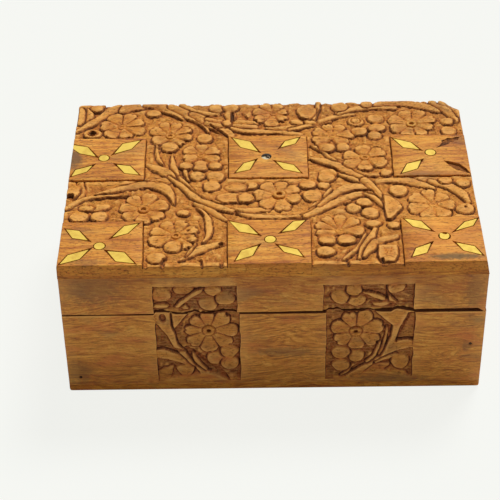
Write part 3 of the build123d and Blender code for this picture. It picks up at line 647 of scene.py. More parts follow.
lid_u, lid_v = np.meshgrid(lid_u_lines, lid_v_lines, indexing="ij")
shift_u, shift_v = np.zeros_like(lid_u), np.zeros_like(lid_v)
for span, corners in zip(panel_spans, PANEL_SHIFTS):
    s = np.clip((lid_u - span[0]) / (span[1] - span[0]), 0, 1)
    t = np.clip((lid_v - span[2]) / (span[3] - span[2]), 0, 1)
    share = 1 - soft_step(0, REACH, distance_to_span(lid_u, lid_v, span))
    for axis, shift in enumerate((shift_u, shift_v)):
        near = corners[0][axis] * (1 - s) + corners[1][axis] * s
        far = corners[2][axis] * (1 - s) + corners[3][axis] * s
        shift += share * (near * (1 - t) + far * t)
shift_u += 0.16 * unevenness(lid_u, lid_v, 5.0, 21) + 0.08 * unevenness(lid_u, lid_v, 1.7, 22)
shift_v += 0.16 * unevenness(lid_u, lid_v, 5.0, 23) + 0.08 * unevenness(lid_u, lid_v, 1.7, 24)
from_side = np.minimum(lid_u - lid_u_lines[0], lid_u_lines[-1] - lid_u)
from_front = np.minimum(lid_v - lid_v_lines[0], lid_v_lines[-1] - lid_v)
carved_u = lid_u + shift_u * soft_step(0, CALM_EDGE, from_side)
carved_v = lid_v + shift_v * soft_step(0, CALM_EDGE, from_front)
print("largest shift", round(float(abs(shift_u).max()), 2), round(float(abs(shift_v).max()), 2))

# %% Carve the lid
lid_relief = Relief(lid_u_lines, lid_v_lines, carved_u, carved_v, GROUND_DEPTH)
# A sill of ground stays high along the front edge.
SILL_STARTS, SILL_FULL = -63.6, -65.4
sill_height = 0.62 + 0.16 * unevenness(carved_u, carved_v, 3.0, 39)
front_sill = sill_height * GROUND_DEPTH * soft_step(SILL_STARTS, SILL_FULL, carved_v)
lid_relief.height = np.maximum(lid_relief.height, front_sill)
# The ground stays high just in front of the far panels, which softens their near edges.
for low_u, high_u in PANEL_COLUMNS:
    band = soft_step(-5.6, -2.6, carved_v) * soft_step(2.2, 1.6, carved_v)
    band *= soft_step(low_u - 3, low_u, carved_u) * soft_step(high_u + 3, high_u, carved_u)
    rough = 0.72 + 0.10 * unevenness(carved_u * 0.5, carved_v, 1.3, 33)
    rough = rough + 0.06 * unevenness(carved_u, carved_v, 3.0, 34)
    lid_relief.height = np.maximum(lid_relief.height, GROUND_DEPTH * rough * band)
for kind, values, options in lid_carving:
    kind(lid_relief, *values, **options)
to_panel = np.min([distance_to_span(lid_u, lid_v, span) for span in panel_spans], axis=0)
edge_cut = 0.38 + 0.24 * unevenness(carved_u, carved_v, 8.0, 35)
lid_height = lid_relief.height * (edge_cut + (1 - edge_cut) * soft_step(0.05, 0.75, to_panel))
edge_wave = unevenness(lid_u, lid_v, 7.0, 31)
lid_arris = worn_arris(from_side, 0.55, edge_wave) + worn_arris(from_front, 0.6, edge_wave)
# The far right corner has been knocked off.
CORNER_LOSS, CORNER_REACH = 4.4, 9.5
to_corner = np.hypot(lid_u.max() - lid_u, lid_v.max() - lid_v) + 0.8 * unevenness(lid_u, lid_v, 3.0, 36)
lid_arris = lid_arris + CORNER_LOSS * (1 - soft_step(0.8, CORNER_REACH, to_corner))
lid_depth = np.maximum(GROUND_DEPTH - lid_height, 0.02) + lid_arris
print("lid depth", round(float(lid_depth.min()), 2), "to", round(float(lid_depth.max()), 2))

# %% [markdown]
# Dirt and polish gather where the shape tells them to, and painted shade and light go with them.
# The **grime** of a point is dirt and painted shade. It grows with how far the point lies below
# its neighbours, how steep the wood is there and how near a knife cut runs, and it is stronger on
# walls that face the front. Its **wear** is polish and painted highlight: how far it stands above
# its neighbours, where the wood isn't steep. Both are kept on the mesh with how deep the point is
# **sunk**, and the wood's finish reads all three.

# %% Grime and wear from the shape
def blur(grid, reach):
    """The average of a grid over reach steps each way."""
    for axis in (0, 1):
        padded = np.pad(grid, [(reach, reach) if a == axis else (0, 0) for a in (0, 1)], mode="edge")
        total = np.cumsum(np.insert(padded, 0, 0, axis=axis), axis=axis)
        ahead = np.take(total, range(2 * reach + 1, total.shape[axis]), axis=axis)
        behind = np.take(total, range(0, total.shape[axis] - 2 * reach - 1), axis=axis)
        grid = (ahead - behind) / (2 * reach + 1)
    return grid


def marks_of(depth, full_depth, u, v, edge=0.5):
    """Sunk, grime and wear, each from 0 to 1, for a grid of depths. Grime is soiling and painted
    shade, wear is polish and painted highlight. edge is how much painted shade a knife cut gets. A
    wall that faces low v, the front of the lid, gets more painted shade than one that faces away."""
    lower = 0.5 * (depth - blur(depth, 2)) + 0.5 * (depth - blur(depth, 5))
    steep = np.zeros_like(depth)
    for axis, across in ((0, u), (1, v)):
        rise = abs(np.diff(depth, axis=axis)) / np.maximum(abs(np.diff(across, axis=axis)), 0.1)
        ends = [(1, 1) if a == axis else (0, 0) for a in (0, 1)]
        padded = np.pad(rise, ends, mode="edge")
        both = [np.take(padded, range(k, padded.shape[axis] - 1 + k), axis=axis) for k in (0, 1)]
        steep = np.maximum(steep, (both[0] + both[1]) / 2)
    slope = -np.gradient(depth, axis=1) / np.maximum(abs(np.gradient(v, axis=1)), 0.1)
    towards_front = np.clip(slope, -2, 2)
    shaded = 0.62 + 0.38 * soft_step(-0.8, 0.8, towards_front)
    # Dirt and painted shade: hollows, steep walls, walls facing the front and narrow knife cuts darken.
    grime = (np.clip(lower / 0.9, 0, 1) * 0.7 + 0.6 * soft_step(0.6, 2.0, steep)) * shaded
    grime = grime + edge * soft_step(0.06, 0.4, depth - blur(depth, 1))
    grime = 0.6 * grime + 0.5 * blur(grime, 1)
    # Polish and painted highlight: places that stand above their neighbours, where not steep, grow
    # paler.
    higher = 0.7 * (blur(depth, 7) - depth) + 0.3 * (blur(depth, 3) - depth)
    return {
        "sunk": np.clip(depth / full_depth, 0, 1),
        "grime": np.clip(grime, 0, 1),
        "wear": soft_step(0.05, 0.55, higher) * (1 - soft_step(0.5, 1.6, steep)),
    }


MARKS = ("sunk", "grime", "wear")


# %% [markdown]
# ## Building a board from its face
#
# A board's mesh starts as its face alone. Its open edge is then drawn straight back through the
# board's thickness and the far side is closed, so every board is a shut skin of the right size.

# %% A skin that becomes a board
SAME_PLACE, SHARP_ANGLE = 2e-6, 38


class Skin:
    """The faces of one board, gathered in mm, with the marks of each corner."""

    def __init__(self):
        self.points, self.faces, self.marks, self.count = [], [], [], 0

    def add(self, points, faces, marks):
        """Add some points with their marks, and faces that index them."""
        self.points.append(np.asarray(points, float))
        self.marks.append(np.stack([np.broadcast_to(marks[m], len(points)) for m in MARKS], 1))
        self.faces += [tuple(int(i) + self.count for i in face) for face in faces]
        self.count += len(points)

    def add_net(self, points, marks, keep):
        """Add a net of points, with a face in every cell that is kept."""
        numbers = np.arange(points.shape[0] * points.shape[1]).reshape(points.shape[:2])
        cells = np.stack([numbers[:-1, :-1], numbers[1:, :-1], numbers[1:, 1:], numbers[:-1, 1:]], -1)
        cells = cells[keep]
        used, renumbered = np.unique(cells, return_inverse=True)
        flat = {m: marks[m].reshape(-1)[used] for m in MARKS}
        self.add(points.reshape(-1, 3)[used], renumbered.reshape(-1, 4).tolist(), flat)

    def board(self, name, to_back):
        """Close the skin behind its face and return the board. to_back moves an edge point back."""
        mesh = bpy.data.meshes.new(name)
        mesh.from_pydata((np.vstack(self.points) * MM).tolist(), [], self.faces)
        values = np.vstack(self.marks)
        for column, mark in enumerate(MARKS):
            layer = mesh.attributes.new(mark, "FLOAT", "POINT")
            layer.data.foreach_set("value", values[:, column].astype(np.float32))
        bm = bmesh.new()
        bm.from_mesh(mesh)
        bmesh.ops.remove_doubles(bm, verts=bm.verts, dist=SAME_PLACE)
        open_edges = [e for e in bm.edges if e.is_boundary]
        drawn = bmesh.ops.extrude_edge_only(bm, edges=open_edges)["geom"]
        far_points = [g for g in drawn if isinstance(g, bmesh.types.BMVert)]
        layers = [bm.verts.layers.float[m] for m in MARKS]
        for vertex in far_points:
            vertex.co = Vector(to_back(*(vertex.co / MM))) * MM
            for layer in layers:
                vertex[layer] = 0.0
        far_edges = [g for g in drawn if isinstance(g, bmesh.types.BMEdge) and g.is_boundary]
        bmesh.ops.contextual_create(bm, geom=far_edges)
        bmesh.ops.recalc_face_normals(bm, faces=bm.faces)
        still_open = sum(1 for e in bm.edges if not e.is_manifold)
        bm.to_mesh(mesh)
        bm.free()
        mesh.shade_smooth()
        mesh.set_sharp_from_angle(angle=math.radians(SHARP_ANGLE))
        print(name, "triangles", triangles_in(mesh), "open edges", still_open)
        return add_object(name, mesh)


# %% [markdown]
# ## The plain panels and their pockets
#
# Each panel is flat, with a pocket chiselled for every petal and a hole bored for the dot. The
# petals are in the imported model, so the pockets are drawn round them, a little wider. The cuts run
# on a little past each tip, which is what leaves the small dark ticks there. Two pockets have lost
# their petals, so their corners are given here.
#
# A net would need very fine lines to follow these slanting cuts. A constrained triangulation takes
# the outlines as they are, says which triangles lie in which pocket, and needs only a few of them.

# %% Outlines on a panel
PETAL_CLEARANCE, DOT_CLEARANCE = 0.5, 0.55
POCKET_DEPTH, SHALLOW_DEPTH, DOT_HOLE_DEPTH = 1.25, 0.6, 4.1
# How dark the floor of each kind of pocket is: dirt, and painted shade down in the hole and gap.
PETAL_DIRT_AND_SHADE, DOT_DIRT_AND_SHADE, EMPTY_DIRT_AND_SHADE = 0.66, 0.72, 1.0
EMPTY_POCKETS = {
    "back_right_ne": [(97.2, 33.4), (96.3, 30.6), (94.6, 30.2), (93.7, 28.9), (92, 28.8), (90.9, 27.2),
                      (88.6, 26), (84.2, 23.8), (86.3, 26), (87.9, 28.8), (87.6, 30.6), (89.6, 31.4),
                      (91, 32.9), (93.4, 32.4), (95, 33.4)],
    "back_right_se": [(101, 1.1), (96.6, 3), (92.4, 5.1), (89.6, 8.6), (87.1, 13.1), (90.6, 12.1),
                      (94.9, 10.1), (98, 6)],
}


def corners_of(node):
    """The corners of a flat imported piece, in order round it, in mm."""
    points = np.array([v.co for v in frame["nodes"][node].data.vertices]) / MM
    top = points[points[:, 2] > points[:, 2].max() - 0.01][:, :2]
    top = np.unique(np.round(top, 3), axis=0)
    around = top - top.mean(0)
    return top[np.argsort(np.arctan2(around[:, 1], around[:, 0]))]


def grown(corners, amount):
    """An outline with every side moved outwards, and its corners where the moved sides meet."""
    corners = np.array(corners, float)
    centre = corners.mean(0)
    corners = corners[np.argsort(np.arctan2(*(corners - centre).T[::-1]))]
    sides = np.roll(corners, -1, 0) - corners
    out = np.stack([sides[:, 1], -sides[:, 0]], 1) / np.hypot(*sides.T)[:, None]
    moved = []
    for i in range(len(corners)):
        a, b = out[i - 1], out[i]
        moved.append(corners[i] + (a + b) * amount / (1 + a @ b))
    return np.array(moved)


def overcut(outline):
    """Where the knife ran on past the tips of a petal, most of all towards the panel's dot."""
    middle = outline.mean(0)
    low_u, high_u, low_v, high_v = min(panel_spans, key=lambda s: abs(sum(s[:2]) - 2 * middle[0])
                                       + abs(sum(s[2:]) - 2 * middle[1]))
    dot = np.array([low_u + high_u, low_v + high_v]) / 2
    reach = np.hypot(*(outline - middle).T)
    for tip in np.argsort(reach)[-2:]:
        inner = np.hypot(*(outline[tip] - dot)) < np.hypot(*(middle - dot))
        outline[tip] += (outline[tip] - middle) / reach[tip] * (1.5 if inner else 0.5)
    return outline


def circle(centre, radius, count=40):
    """Points round a circle."""
    angles = np.arange(count) * 2 * math.pi / count
    return np.stack([centre[0] + radius * np.cos(angles), centre[1] + radius * np.sin(angles)], 1)


pockets = {}
for node in frame["nodes"]:
    if node.startswith("inlay_petal_"):
        outline = overcut(grown(corners_of(node), PETAL_CLEARANCE))
        pockets[node.removeprefix("inlay_petal_")] = (outline, POCKET_DEPTH, PETAL_DIRT_AND_SHADE)
    elif node.startswith("inlay_dot_"):
        low, high = node_box(node)
        radius = (high - low)[0] / 2 + DOT_CLEARANCE
        hole = circle(((low + high) / 2)[:2], radius)
        pockets[node.removeprefix("inlay_")] = (hole, DOT_HOLE_DEPTH, DOT_DIRT_AND_SHADE)
for name, corners in EMPTY_POCKETS.items():
    depth = POCKET_DEPTH if "se" in name else SHALLOW_DEPTH
    pockets[name] = (np.array(corners[::-1]), depth, EMPTY_DIRT_AND_SHADE)
print("pockets", len(pockets))

# %% A panel with its pockets
SLIVER, TOP_DROP = 0.12, 0.02
PANEL_RINGS = (0.12, 0.35)


def ring_inside(outline, amount):
    """A closed outline drawn in by an amount on every side."""
    ahead, behind = np.roll(outline, -1, 0) - outline, outline - np.roll(outline, 1, 0)
    normals = []
    for side in (ahead, behind):
        normals.append(np.stack([-side[:, 1], side[:, 0]], 1) / np.hypot(*side.T)[:, None])
    middle = normals[0] + normals[1]
    scale = amount / np.maximum(1 + (normals[0] * normals[1]).sum(1), 0.35)
    return outline + middle * scale[:, None]


def distance_to_outline(points, outline):
    """How far each point lies from a closed outline."""
    nearest = np.full(len(points), FAR)
    for a, b in zip(outline, np.roll(outline, -1, 0)):
        side = b - a
        t = np.clip((points - a) @ side / (side @ side), 0, 1)
        nearest = np.minimum(nearest, np.hypot(*(points - a - t[:, None] * side).T))
    return nearest


def add_panel(skin, outline, border_depth):
    """Fill a panel's outline with its flat top, its worn edge, and its pockets with their walls."""
    low, high = outline.min(0), outline.max(0)
    points, edges, faces, depths = list(outline), [], [list(range(len(outline)))], [(0.0, 0.0)]
    for amount in PANEL_RINGS:
        ring = ring_inside(outline, amount)
        start = len(points)
        points += list(ring)
        edges += [(start + i, start + (i + 1) % len(ring)) for i in range(len(ring))]
    for corners, depth, dirt_and_shade in pockets.values():
        centre = corners.mean(0)
        if (centre > low).all() and (centre < high).all():
            corners = np.clip(corners, low + SLIVER, high - SLIVER)
            faces.append(list(range(len(points), len(points) + len(corners))))
            points += list(corners)
            depths.append((depth, dirt_and_shade))
    vectors = [Vector(p) for p in points]
    flat, _, triangles, _, _, owners = delaunay_2d_cdt(vectors, edges, faces, 1, 1e-5)
    flat = np.array([tuple(p) for p in flat])
    # Towards its edge the top drops as far as the outline does at its nearest point.
    drop = border_depth[[int(np.argmin(np.hypot(*(outline - p).T))) for p in flat]]
    share = np.clip(1 - distance_to_outline(flat, outline) / PANEL_RINGS[1], 0, 1)
    # The top is made a little darker towards its worn edge.
    grime = 0.2 * share
    top = np.column_stack([flat, lid_top - (TOP_DROP + drop * share**2)])
    # A triangle belongs to the last outline that holds it: 0 is the panel's own.
    pocket_of = [max(owner) for owner in owners]
    levels = {}
    for triangle, pocket in zip(triangles, pocket_of):
        levels.setdefault(pocket, []).append(triangle)
    skin.add(top, levels.pop(0), {"sunk": 0.0, "grime": grime, "wear": 0.0})
    by_edge = {}
    for number, triangle in enumerate(triangles):
        for a, b in zip(triangle, triangle[1:] + triangle[:1]):
            by_edge.setdefault(frozenset((a, b)), []).append(number)
    for pocket, inside in levels.items():
        depth, dirt_and_shade = depths[pocket]
        # The floor and walls of a pocket are darkened: dirt, and painted shade down in the pocket.
        floor = np.column_stack([flat, np.full(len(flat), lid_top - depth)])
        if depth == SHALLOW_DEPTH:
            dirt_and_shade = np.where(unevenness(flat[:, 0], flat[:, 1], 1.6, 38) > -0.3, 0.95, 0.45)
        skin.add(floor, inside, {"sunk": 1.0, "grime": dirt_and_shade, "wear": 0.0})
        walls = []
        for edge, sides in by_edge.items():
            kinds = {pocket_of[n] for n in sides}
            if pocket in kinds and len(kinds) == 2:
                a, b = tuple(edge)
                walls.append((a, b, b + len(flat), a + len(flat)))
        wall_dirt_and_shade = np.concatenate([grime, np.ones(len(flat)) * dirt_and_shade])
        skin.add(np.vstack([top, floor]), walls, {"sunk": wall_dirt_and_shade, "grime": wall_dirt_and_shade, "wear": 0.0})


# %% One dot that was cut by hand
# The dot of the near right panel is a rough-cut scrap. Its corners are given from its middle.
SCRAP = [(-2.35, -0.28), (-1.91, -1.66), (-0.39, -2.41), (1.13, -2.24), (2.22, -0.62), (2.33, 1.0),
         (1.78, 1.9), (0.7, 1.2), (-0.28, 1.5), (-1.4, 2.4), (-2.13, 2.0)]


def cut_scrap(node, body):
    """A flat scrap of brass with upright sides, in place of a packed dot."""
    low, high = node_box(node)
    centre = (low + high) / 2
    bm = bmesh.new()
    foot = [bm.verts.new(Vector((centre[0] + x, centre[1] + y, low[2])) * MM) for x, y in SCRAP]
    outline = bm.faces.new(foot)
    top = bmesh.ops.extrude_face_region(bm, geom=[outline])["geom"]
    for vertex in [g for g in top if isinstance(g, bmesh.types.BMVert)]:
        vertex.co.z = high[2] * MM
    bmesh.ops.recalc_face_normals(bm, faces=bm.faces)
    mesh = bpy.data.meshes.new("scrap_dot")
    bm.to_mesh(mesh)
    bm.free()
    piece = add_object("inlay_scrap_dot", mesh)
    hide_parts(node)
    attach(piece, body)
    print("scrap dot", len(mesh.polygons), "faces")


cut_scrap("inlay_dot_front_right", "lid")

# %% The lid board
def in_span(lines, low, high):
    """Which gaps between lines lie in a span."""
    middles = (lines[1:] + lines[:-1]) / 2
    return (middles > low) & (middles < high)


lid_skin = Skin()
net = np.stack([carved_u, carved_v, lid_top - lid_depth], -1)
keep = np.ones((len(lid_u_lines) - 1, len(lid_v_lines) - 1), bool)
panel_drop = 0.3 + 0.12 * edge_wave
for span in panel_spans:
    inside = np.outer(in_span(lid_u_lines, *span[:2]), in_span(lid_v_lines, *span[2:]))
    keep &= ~inside
    i0, i1 = (int(np.argmin(abs(lid_u_lines - x))) for x in span[:2])
    j0, j1 = (int(np.argmin(abs(lid_v_lines - y))) for y in span[2:])
    round_it = (
        [(i, j0) for i in range(i0, i1)] + [(i1, j) for j in range(j0, j1)]
        + [(i, j1) for i in range(i1, i0, -1)] + [(i0, j) for j in range(j1, j0, -1)]
    )
    rows, columns = zip(*round_it)
    drops = panel_drop[rows, columns] + lid_arris[rows, columns]
    net[rows, columns, 2] = lid_top - TOP_DROP - drops
    add_panel(lid_skin, np.stack([carved_u[rows, columns], carved_v[rows, columns]], 1), drops)
lid_marks = marks_of(lid_top - net[:, :, 2], GROUND_DEPTH, net[:, :, 0], net[:, :, 1])
for mark in MARKS:
    for border in (np.s_[0, :], np.s_[-1, :], np.s_[:, 0], np.s_[:, -1]):
        lid_marks[mark][border] *= 0.15
lid_skin.add_net(net, lid_marks, keep)


def lid_back(x, y, z):
    """Under the lid the board is a plain rectangle at its full size."""
    if x > lid_right - LEAN_RIGHT - 0.05:
        x = lid_right
    if y < front + LEAN_FRONT + 0.05:
        y = front
    return x, y, rail_top


lid_board = lid_skin.board("lid_carved_board", lid_back)
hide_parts("lid_top_board")
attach(lid_board, "lid")

# %% [markdown]
# ## The carving of the front and the ends
#
# The front has two carved fields, which run on from the base into the lid. Each holds one flower
# with a sweeping stem and a few buds. The field on each end repeats the left one.

# %% Fields of the front
FIELD_DEPTH = 2.2
FIELD_LENGTH, FIELD_SILL, FIELD_TOP = 41.5, 6.5, 67.2
FIELD_CENTRE = -36.5
base_left_field, base_right_field, lid_left_field, lid_right_field = [], [], [], []
low_left, low_right, high_left, high_right = (
    partial(carve, into=field)
    for field in (base_left_field, base_right_field, lid_left_field, lid_right_field)
)

# Left field of the base: a stem that forks at the rim, two leaves, one flower and four buds.
low_left(leaf, (-56, 5, 1.6), (-54, 10.6, 2.6), (-50.4, 15, 1), crown=0.72)
low_left(slab, (-57.6, 27), (-54, 27.6), (-50, 25.8), (-46, 24), (-43, 20.5), (-39.6, 15.6),
         (-41.8, 15.6), (-46, 17.8), (-52, 20.5), (-57.6, 21.6), fall=(0, -0.02))
low_left(slab, (-58, 45.6), (-58, 51), (-49.7, 51), (-49.3, 42.5), (-48.3, 39.4), (-46.4, 30),
         (-43.3, 26.2), (-38.4, 16.4), (-31, 12.6), (-33, 10), (-35.8, 10.6), (-41.2, 17.8),
         (-46.2, 24), (-49.2, 29), (-51.8, 36), fall=(-0.008, 0))
low_left(slab, (-49.1, 51), (-40.4, 51), (-44.8, 44.5), (-48.1, 39.6), (-48.9, 42.5),
         fall=(0.02, 0))
low_left(nick, (-49.4, 27.8, 0.7), (-46.8, 26.8, 1.2), (-44.2, 25.8, 0.6), level=0.45)
low_left(leaf, (-39.8, 26, 0.4), (-38.8, 21.4, 1.1), (-36.6, 17.2, 1.1), (-33.4, 13.4, 0.7))
low_left(nick, (-43, 28.4, 0.5), (-38, 24.4, 0.8), (-34.2, 20.4, 1.2), (-27.2, 13, 1.2),
         (-21.4, 5, 0.9), level=0)
low_left(pit, -53.4, 46.6, 1.7, 2.2, 10, 0.3)
base_flowers = [
    ((-31.4, 38.8), [(-43, 39.4), (-41.2, 30.2), (-31.4, 25), (-21.2, 29.6), (-17.4, 38.8),
                     (-22.6, 48.2), (-32.4, 50.4), (-39.6, 46.4)]),
    ((39.6, 37.2), [(27.8, 41), (36, 49.2), (44, 49.8), (52.6, 40.8), (50.4, 30.2), (40.6, 25.6),
                    (30, 30.2)]),
]
low_left(flower, *base_flowers[0], size=3.7, hole=0.1, seat=0.4)
for place in [(-28, 21.4, 4.5, 4.2), (-43.4, 13.4, 4.2, 3.7), (-21.7, 25.4, 4.3),
              (-21.6, 17.6, 4.4, 4.2)]:
    low_left(bud, *place)

# Right field of the base: the stem leans the other way and widens towards the rim.
low_right(leaf, (46, 11.4, 1.2), (50, 13.4, 2.4), (55.4, 15, 1.2), crown=0.8)
low_right(bud, 60.8, 8.4, 4.6, 3.8, crown=0.82)
low_right(slab, (61.4, 36), (65.6, 48), (68, 49), (68, 33), (60.2, 32.4), crown=0.55)
low_right(slab, (48.6, 49.2), (46.8, 51), (68, 51), (68, 49), (64.6, 48.2), (61.2, 40.5),
          (59, 31.6), (61, 31.6), (64, 32.6), (67.8, 31.4), (68, 26.8), (61, 24.8), (56.4, 22.6),
          (52.4, 19.8), (49.8, 17), (44.6, 11.8), (40, 7), (36, 5.4), (35.2, 8.4), (39.4, 12),
          (45, 16.4), (48.8, 20), (52, 23.4), (54.6, 28.4), (56.2, 33.4), (57, 40.8),
          fall=(-0.004, 0))
low_right(leaf, (50, 16.8, 0.7), (55, 19.8, 1.1), (59.4, 21, 1.6))
low_right(leaf, (51.7, 31.4, 0.4), (50.7, 26, 0.9), (48.8, 21, 0.9), (45.4, 17.4, 0.7))
low_right(leaf, (54.6, 40, 0.4), (54.3, 34, 0.6), (52.9, 26.4, 0.6), (51.2, 21.8, 0.4), crown=0.8)
low_right(leaf, (33, 8.4, 0.4), (36.2, 11.4, 0.7), (38.4, 15, 0.7), (42, 17.6, 0.8))
low_right(nick, (59.3, 30.6, 0.3), (61, 37.4, 0.35), (64.8, 47.6, 0.4), level=0.2)
low_right(flower, *base_flowers[1], size=3.7, hole=0.1, seat=0.4)
for place in [(40.2, 21.4, 3.9, 4.1), (32.4, 23.6, 4.4, 4.1), (32.9, 15.4, 4.3, 3.9),
              (61.8, 17.4, 4.2, 5)]:
    low_right(bud, *place)

# The same growth goes on above the seam.
high_left(bud, -42.6, 64.6, 4.6, 3.2, crown=0.8)
high_left(slab, (-47.8, 53.2), (-44.6, 57.6), (-38, 63.6), (-33.2, 65.8), (-33, 63.8), (-38.4, 59.2),
          (-43, 55.8), (-45.2, 53))
high_left(slab, (-45, 52), (-42, 54.8), (-40.4, 51.6), crown=0.8)
for place in [(-53.4, 61.6, 4.6, 5), (-28.8, 63.8, 3.8, 3.4), (-31.4, 55.4, 4.4, 4.6),
              (-23, 58.6, 4.4, 4.9), (-54, 53.6, 3.4, 1.6)]:
    high_left(bud, *place)
high_right(leaf, (41.2, 61.8, 0.3), (45.6, 60.4, 1.1), (51, 57.4, 1.3), (56.6, 53, 1.1))
high_right(slab, (53.9, 62.4), (55.8, 59), (59.2, 53), (55.6, 53), (54.2, 57))
high_right(bud, 51.4, 53.6, 3.8, 1.7)
for place in [(39.2, 56, 4.6, 3.7), (31.4, 58.8, 4.2, 5.1), (37.8, 63.6, 3.7, 4.4),
              (57.8, 64.4, 4.2, 3.9)]:
    high_right(bud, *place)
high_right(nick, (53.6, 69.5, 0.3), (53.4, 57, 0.35), level=0)
print("forms on the front", len(base_left_field + base_right_field + lid_left_field + lid_right_field))


# %% [markdown]
# ## Boards with carved fields
#
# One maker serves all six of these boards. It takes the lines of the net, the fields, and a rule
# that turns a place on the face and a depth into a point in space.

# %% Where the fields of the base run out
# The floor of a field climbs back to the face above its foot: u, and the height where it is level.
RUN_OUT = [(-57.4, 6.2), (-54, 6.6), (-50, 8.6), (-41, 9.6), (-33, 12), (-27, 9.4), (-22.4, 6.6),
           (-16, 6.2), (25, 6.2), (34, 6.8), (39, 8), (44, 10.6), (54, 11.6), (60, 9.4), (67, 7.6)]


def run_out(u, v):
    """0 at the foot of a field, where the floor meets the face, and 1 where it is at full depth."""
    level = np.interp(u, *np.array(RUN_OUT).T)
    return soft_step(level - 0.8, level + 1.6, v)


# %% The net of a board, and where its fields lie
FIELD_STEP, NAIL_REACH = 0.42, 1.2


def board_lines(u_span, v_span, fields, pits):
    """The lines of a board's net: fine over its fields and nails, and close at the fields' edges."""
    lines = []
    for axis, (span, low, high) in enumerate(((u_span, 0, 1), (v_span, 2, 3))):
        fine = [(f[low] - 0.5, f[high] + 0.5) for f in fields]
        fine += [(spot[axis] - NAIL_REACH, spot[axis] + NAIL_REACH) for spot in pits]
        edges = [x for f in fields for x in (f[low], f[high]) if span[0] < x < span[1]]
        spaced = net_lines(*span, fine, step=FIELD_STEP)
        lines.append(add_lines(spaced, beside(edges)) if edges else spaced)
    return lines


def field_shares(u, v, v_span, fields):
    """How near each point is to a field, and how much of the full depth it has, each 0 to 1."""
    near_field, depth_in_field = np.zeros_like(u), np.zeros_like(u)
    for f in fields:
        near_field = np.maximum(near_field, 1 - soft_step(0, 5, distance_to_span(u, v, f)))
        within = (u > f[0] - 0.01) & (u < f[1] + 0.01) & (v > f[2] - 0.01) & (v < f[3] + 0.01)
        # A field that meets the seam is open there, and has no wall.
        low_v = FAR if abs(f[2] - v_span[0]) < 0.1 else v - f[2]
        high_v = FAR if abs(f[3] - v_span[1]) < 0.1 else f[3] - v
        to_wall = np.minimum(np.minimum(u - f[0], f[1] - u), np.minimum(low_v, high_v))
        depth_in_field = np.where(within, soft_step(-0.02, WALL_STEP, to_wall), depth_in_field)
    return near_field, depth_in_field


# %% A board with carved fields
# The last rows under the seam get wear and a painted highlight along the rim.
CALM_RIM, RIM_HIGHLIGHT_LINES = 2, slice(-5, -1)


def carved_board(name, u_span, v_span, fields, carving, place, to_back, body, node, arris, foot=None,
                 pits=(), shift=0.0, seam_shade_rows=(), seed=41):
    """Make a board whose face has sunk fields, with forms left standing in them.
    fields are (low u, high u, low v, high v), place(u, v, depth) gives a point, and arris is the
    radius at the low u, high u, low v and high v edges. pits are the dents round nails, shift moves
    the line on which the fields run out, and the seam rows are lines of the net that lie in a seam,
    which get a painted shade, nearly black."""
    u_lines, v_lines = board_lines(u_span, v_span, fields, pits)
    u, v = np.meshgrid(u_lines, v_lines, indexing="ij")
    from_low_u, from_high_u = u - u_span[0], u_span[1] - u
    from_low_v, from_high_v = v - v_span[0], v_span[1] - v
    near_field, depth_in_field = field_shares(u, v, v_span, fields)
    calm_u, calm_v = (
        np.minimum(soft_step(0, CALM_RIM, low), soft_step(0, CALM_RIM, high)) * near_field
        for low, high in ((from_low_u, from_high_u), (from_low_v, from_high_v))
    )
    wander = [0.3 * unevenness(u, v, 4.5, seed + k) + 0.12 * unevenness(u, v, 1.6, seed + k + 2)
              for k in (0, 1)]
    u, v = u + wander[0] * calm_u, v + wander[1] * calm_v
    relief = Relief(u_lines, v_lines, u, v, FIELD_DEPTH)
    for kind, values, options in carving:
        kind(relief, *values, **options)
    wave = unevenness(u, v, 8.0, seed + 7)
    depth = np.maximum(FIELD_DEPTH - relief.height, 0.05) * depth_in_field
    if v_span[0] < rim - 1:
        depth *= run_out(u + shift, v)
    depth += 0.05 + 0.05 * unevenness(u, v, 19.0, seed + 9)
    for distance, radius in zip((from_low_u, from_high_u, from_low_v, from_high_v), arris):
        depth += worn_arris(distance, radius, wave)
    for pit_u, pit_v in pits:
        depth += 0.3 * soft_step(-1.05, -0.8, -np.hypot(u - pit_u, v - pit_v))
    marks = marks_of(depth, FIELD_DEPTH, u, v, edge=0.85)
    # Painted shade: the rows that lie in the seam are made nearly black.
    for row in seam_shade_rows:
        marks["grime"][:, row] = 0.95
    # Wear and painted highlight: a pale band along the rim of the base, just under the seam.
    if v_span[0] < rim - 1:
        rim_wear_and_highlight = soft_step(0.1, 0.7, unevenness(u, v, 11.0, seed + 11) + 0.4)
        marks["wear"][:, RIM_HIGHLIGHT_LINES] = np.maximum(marks["wear"], rim_wear_and_highlight)[:, RIM_HIGHLIGHT_LINES]
    if foot is not None:
        v = foot(u, v)
    points = place(u, v, depth)
    skin = Skin()
    skin.add_net(points, marks, np.ones((len(u_lines) - 1, len(v_lines) - 1), bool))
    board = skin.board(name, to_back)
    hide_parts(node)
    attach(board, body)


def field(place, low, high):
    """A field's span on a face, centred on a place."""
    return place - FIELD_LENGTH / 2, place + FIELD_LENGTH / 2, low, high


def on_front(u, v, depth):
    """A place on the front, where u runs along X and v up."""
    return np.stack([u, front + depth, v], -1)


def front_back(x, y, z):
    """The inner face of the front, straight behind a point on its edge."""
    return x, front + wall, z


front_nails = [(-95.4, 9.5), (95.4, 28.8)]
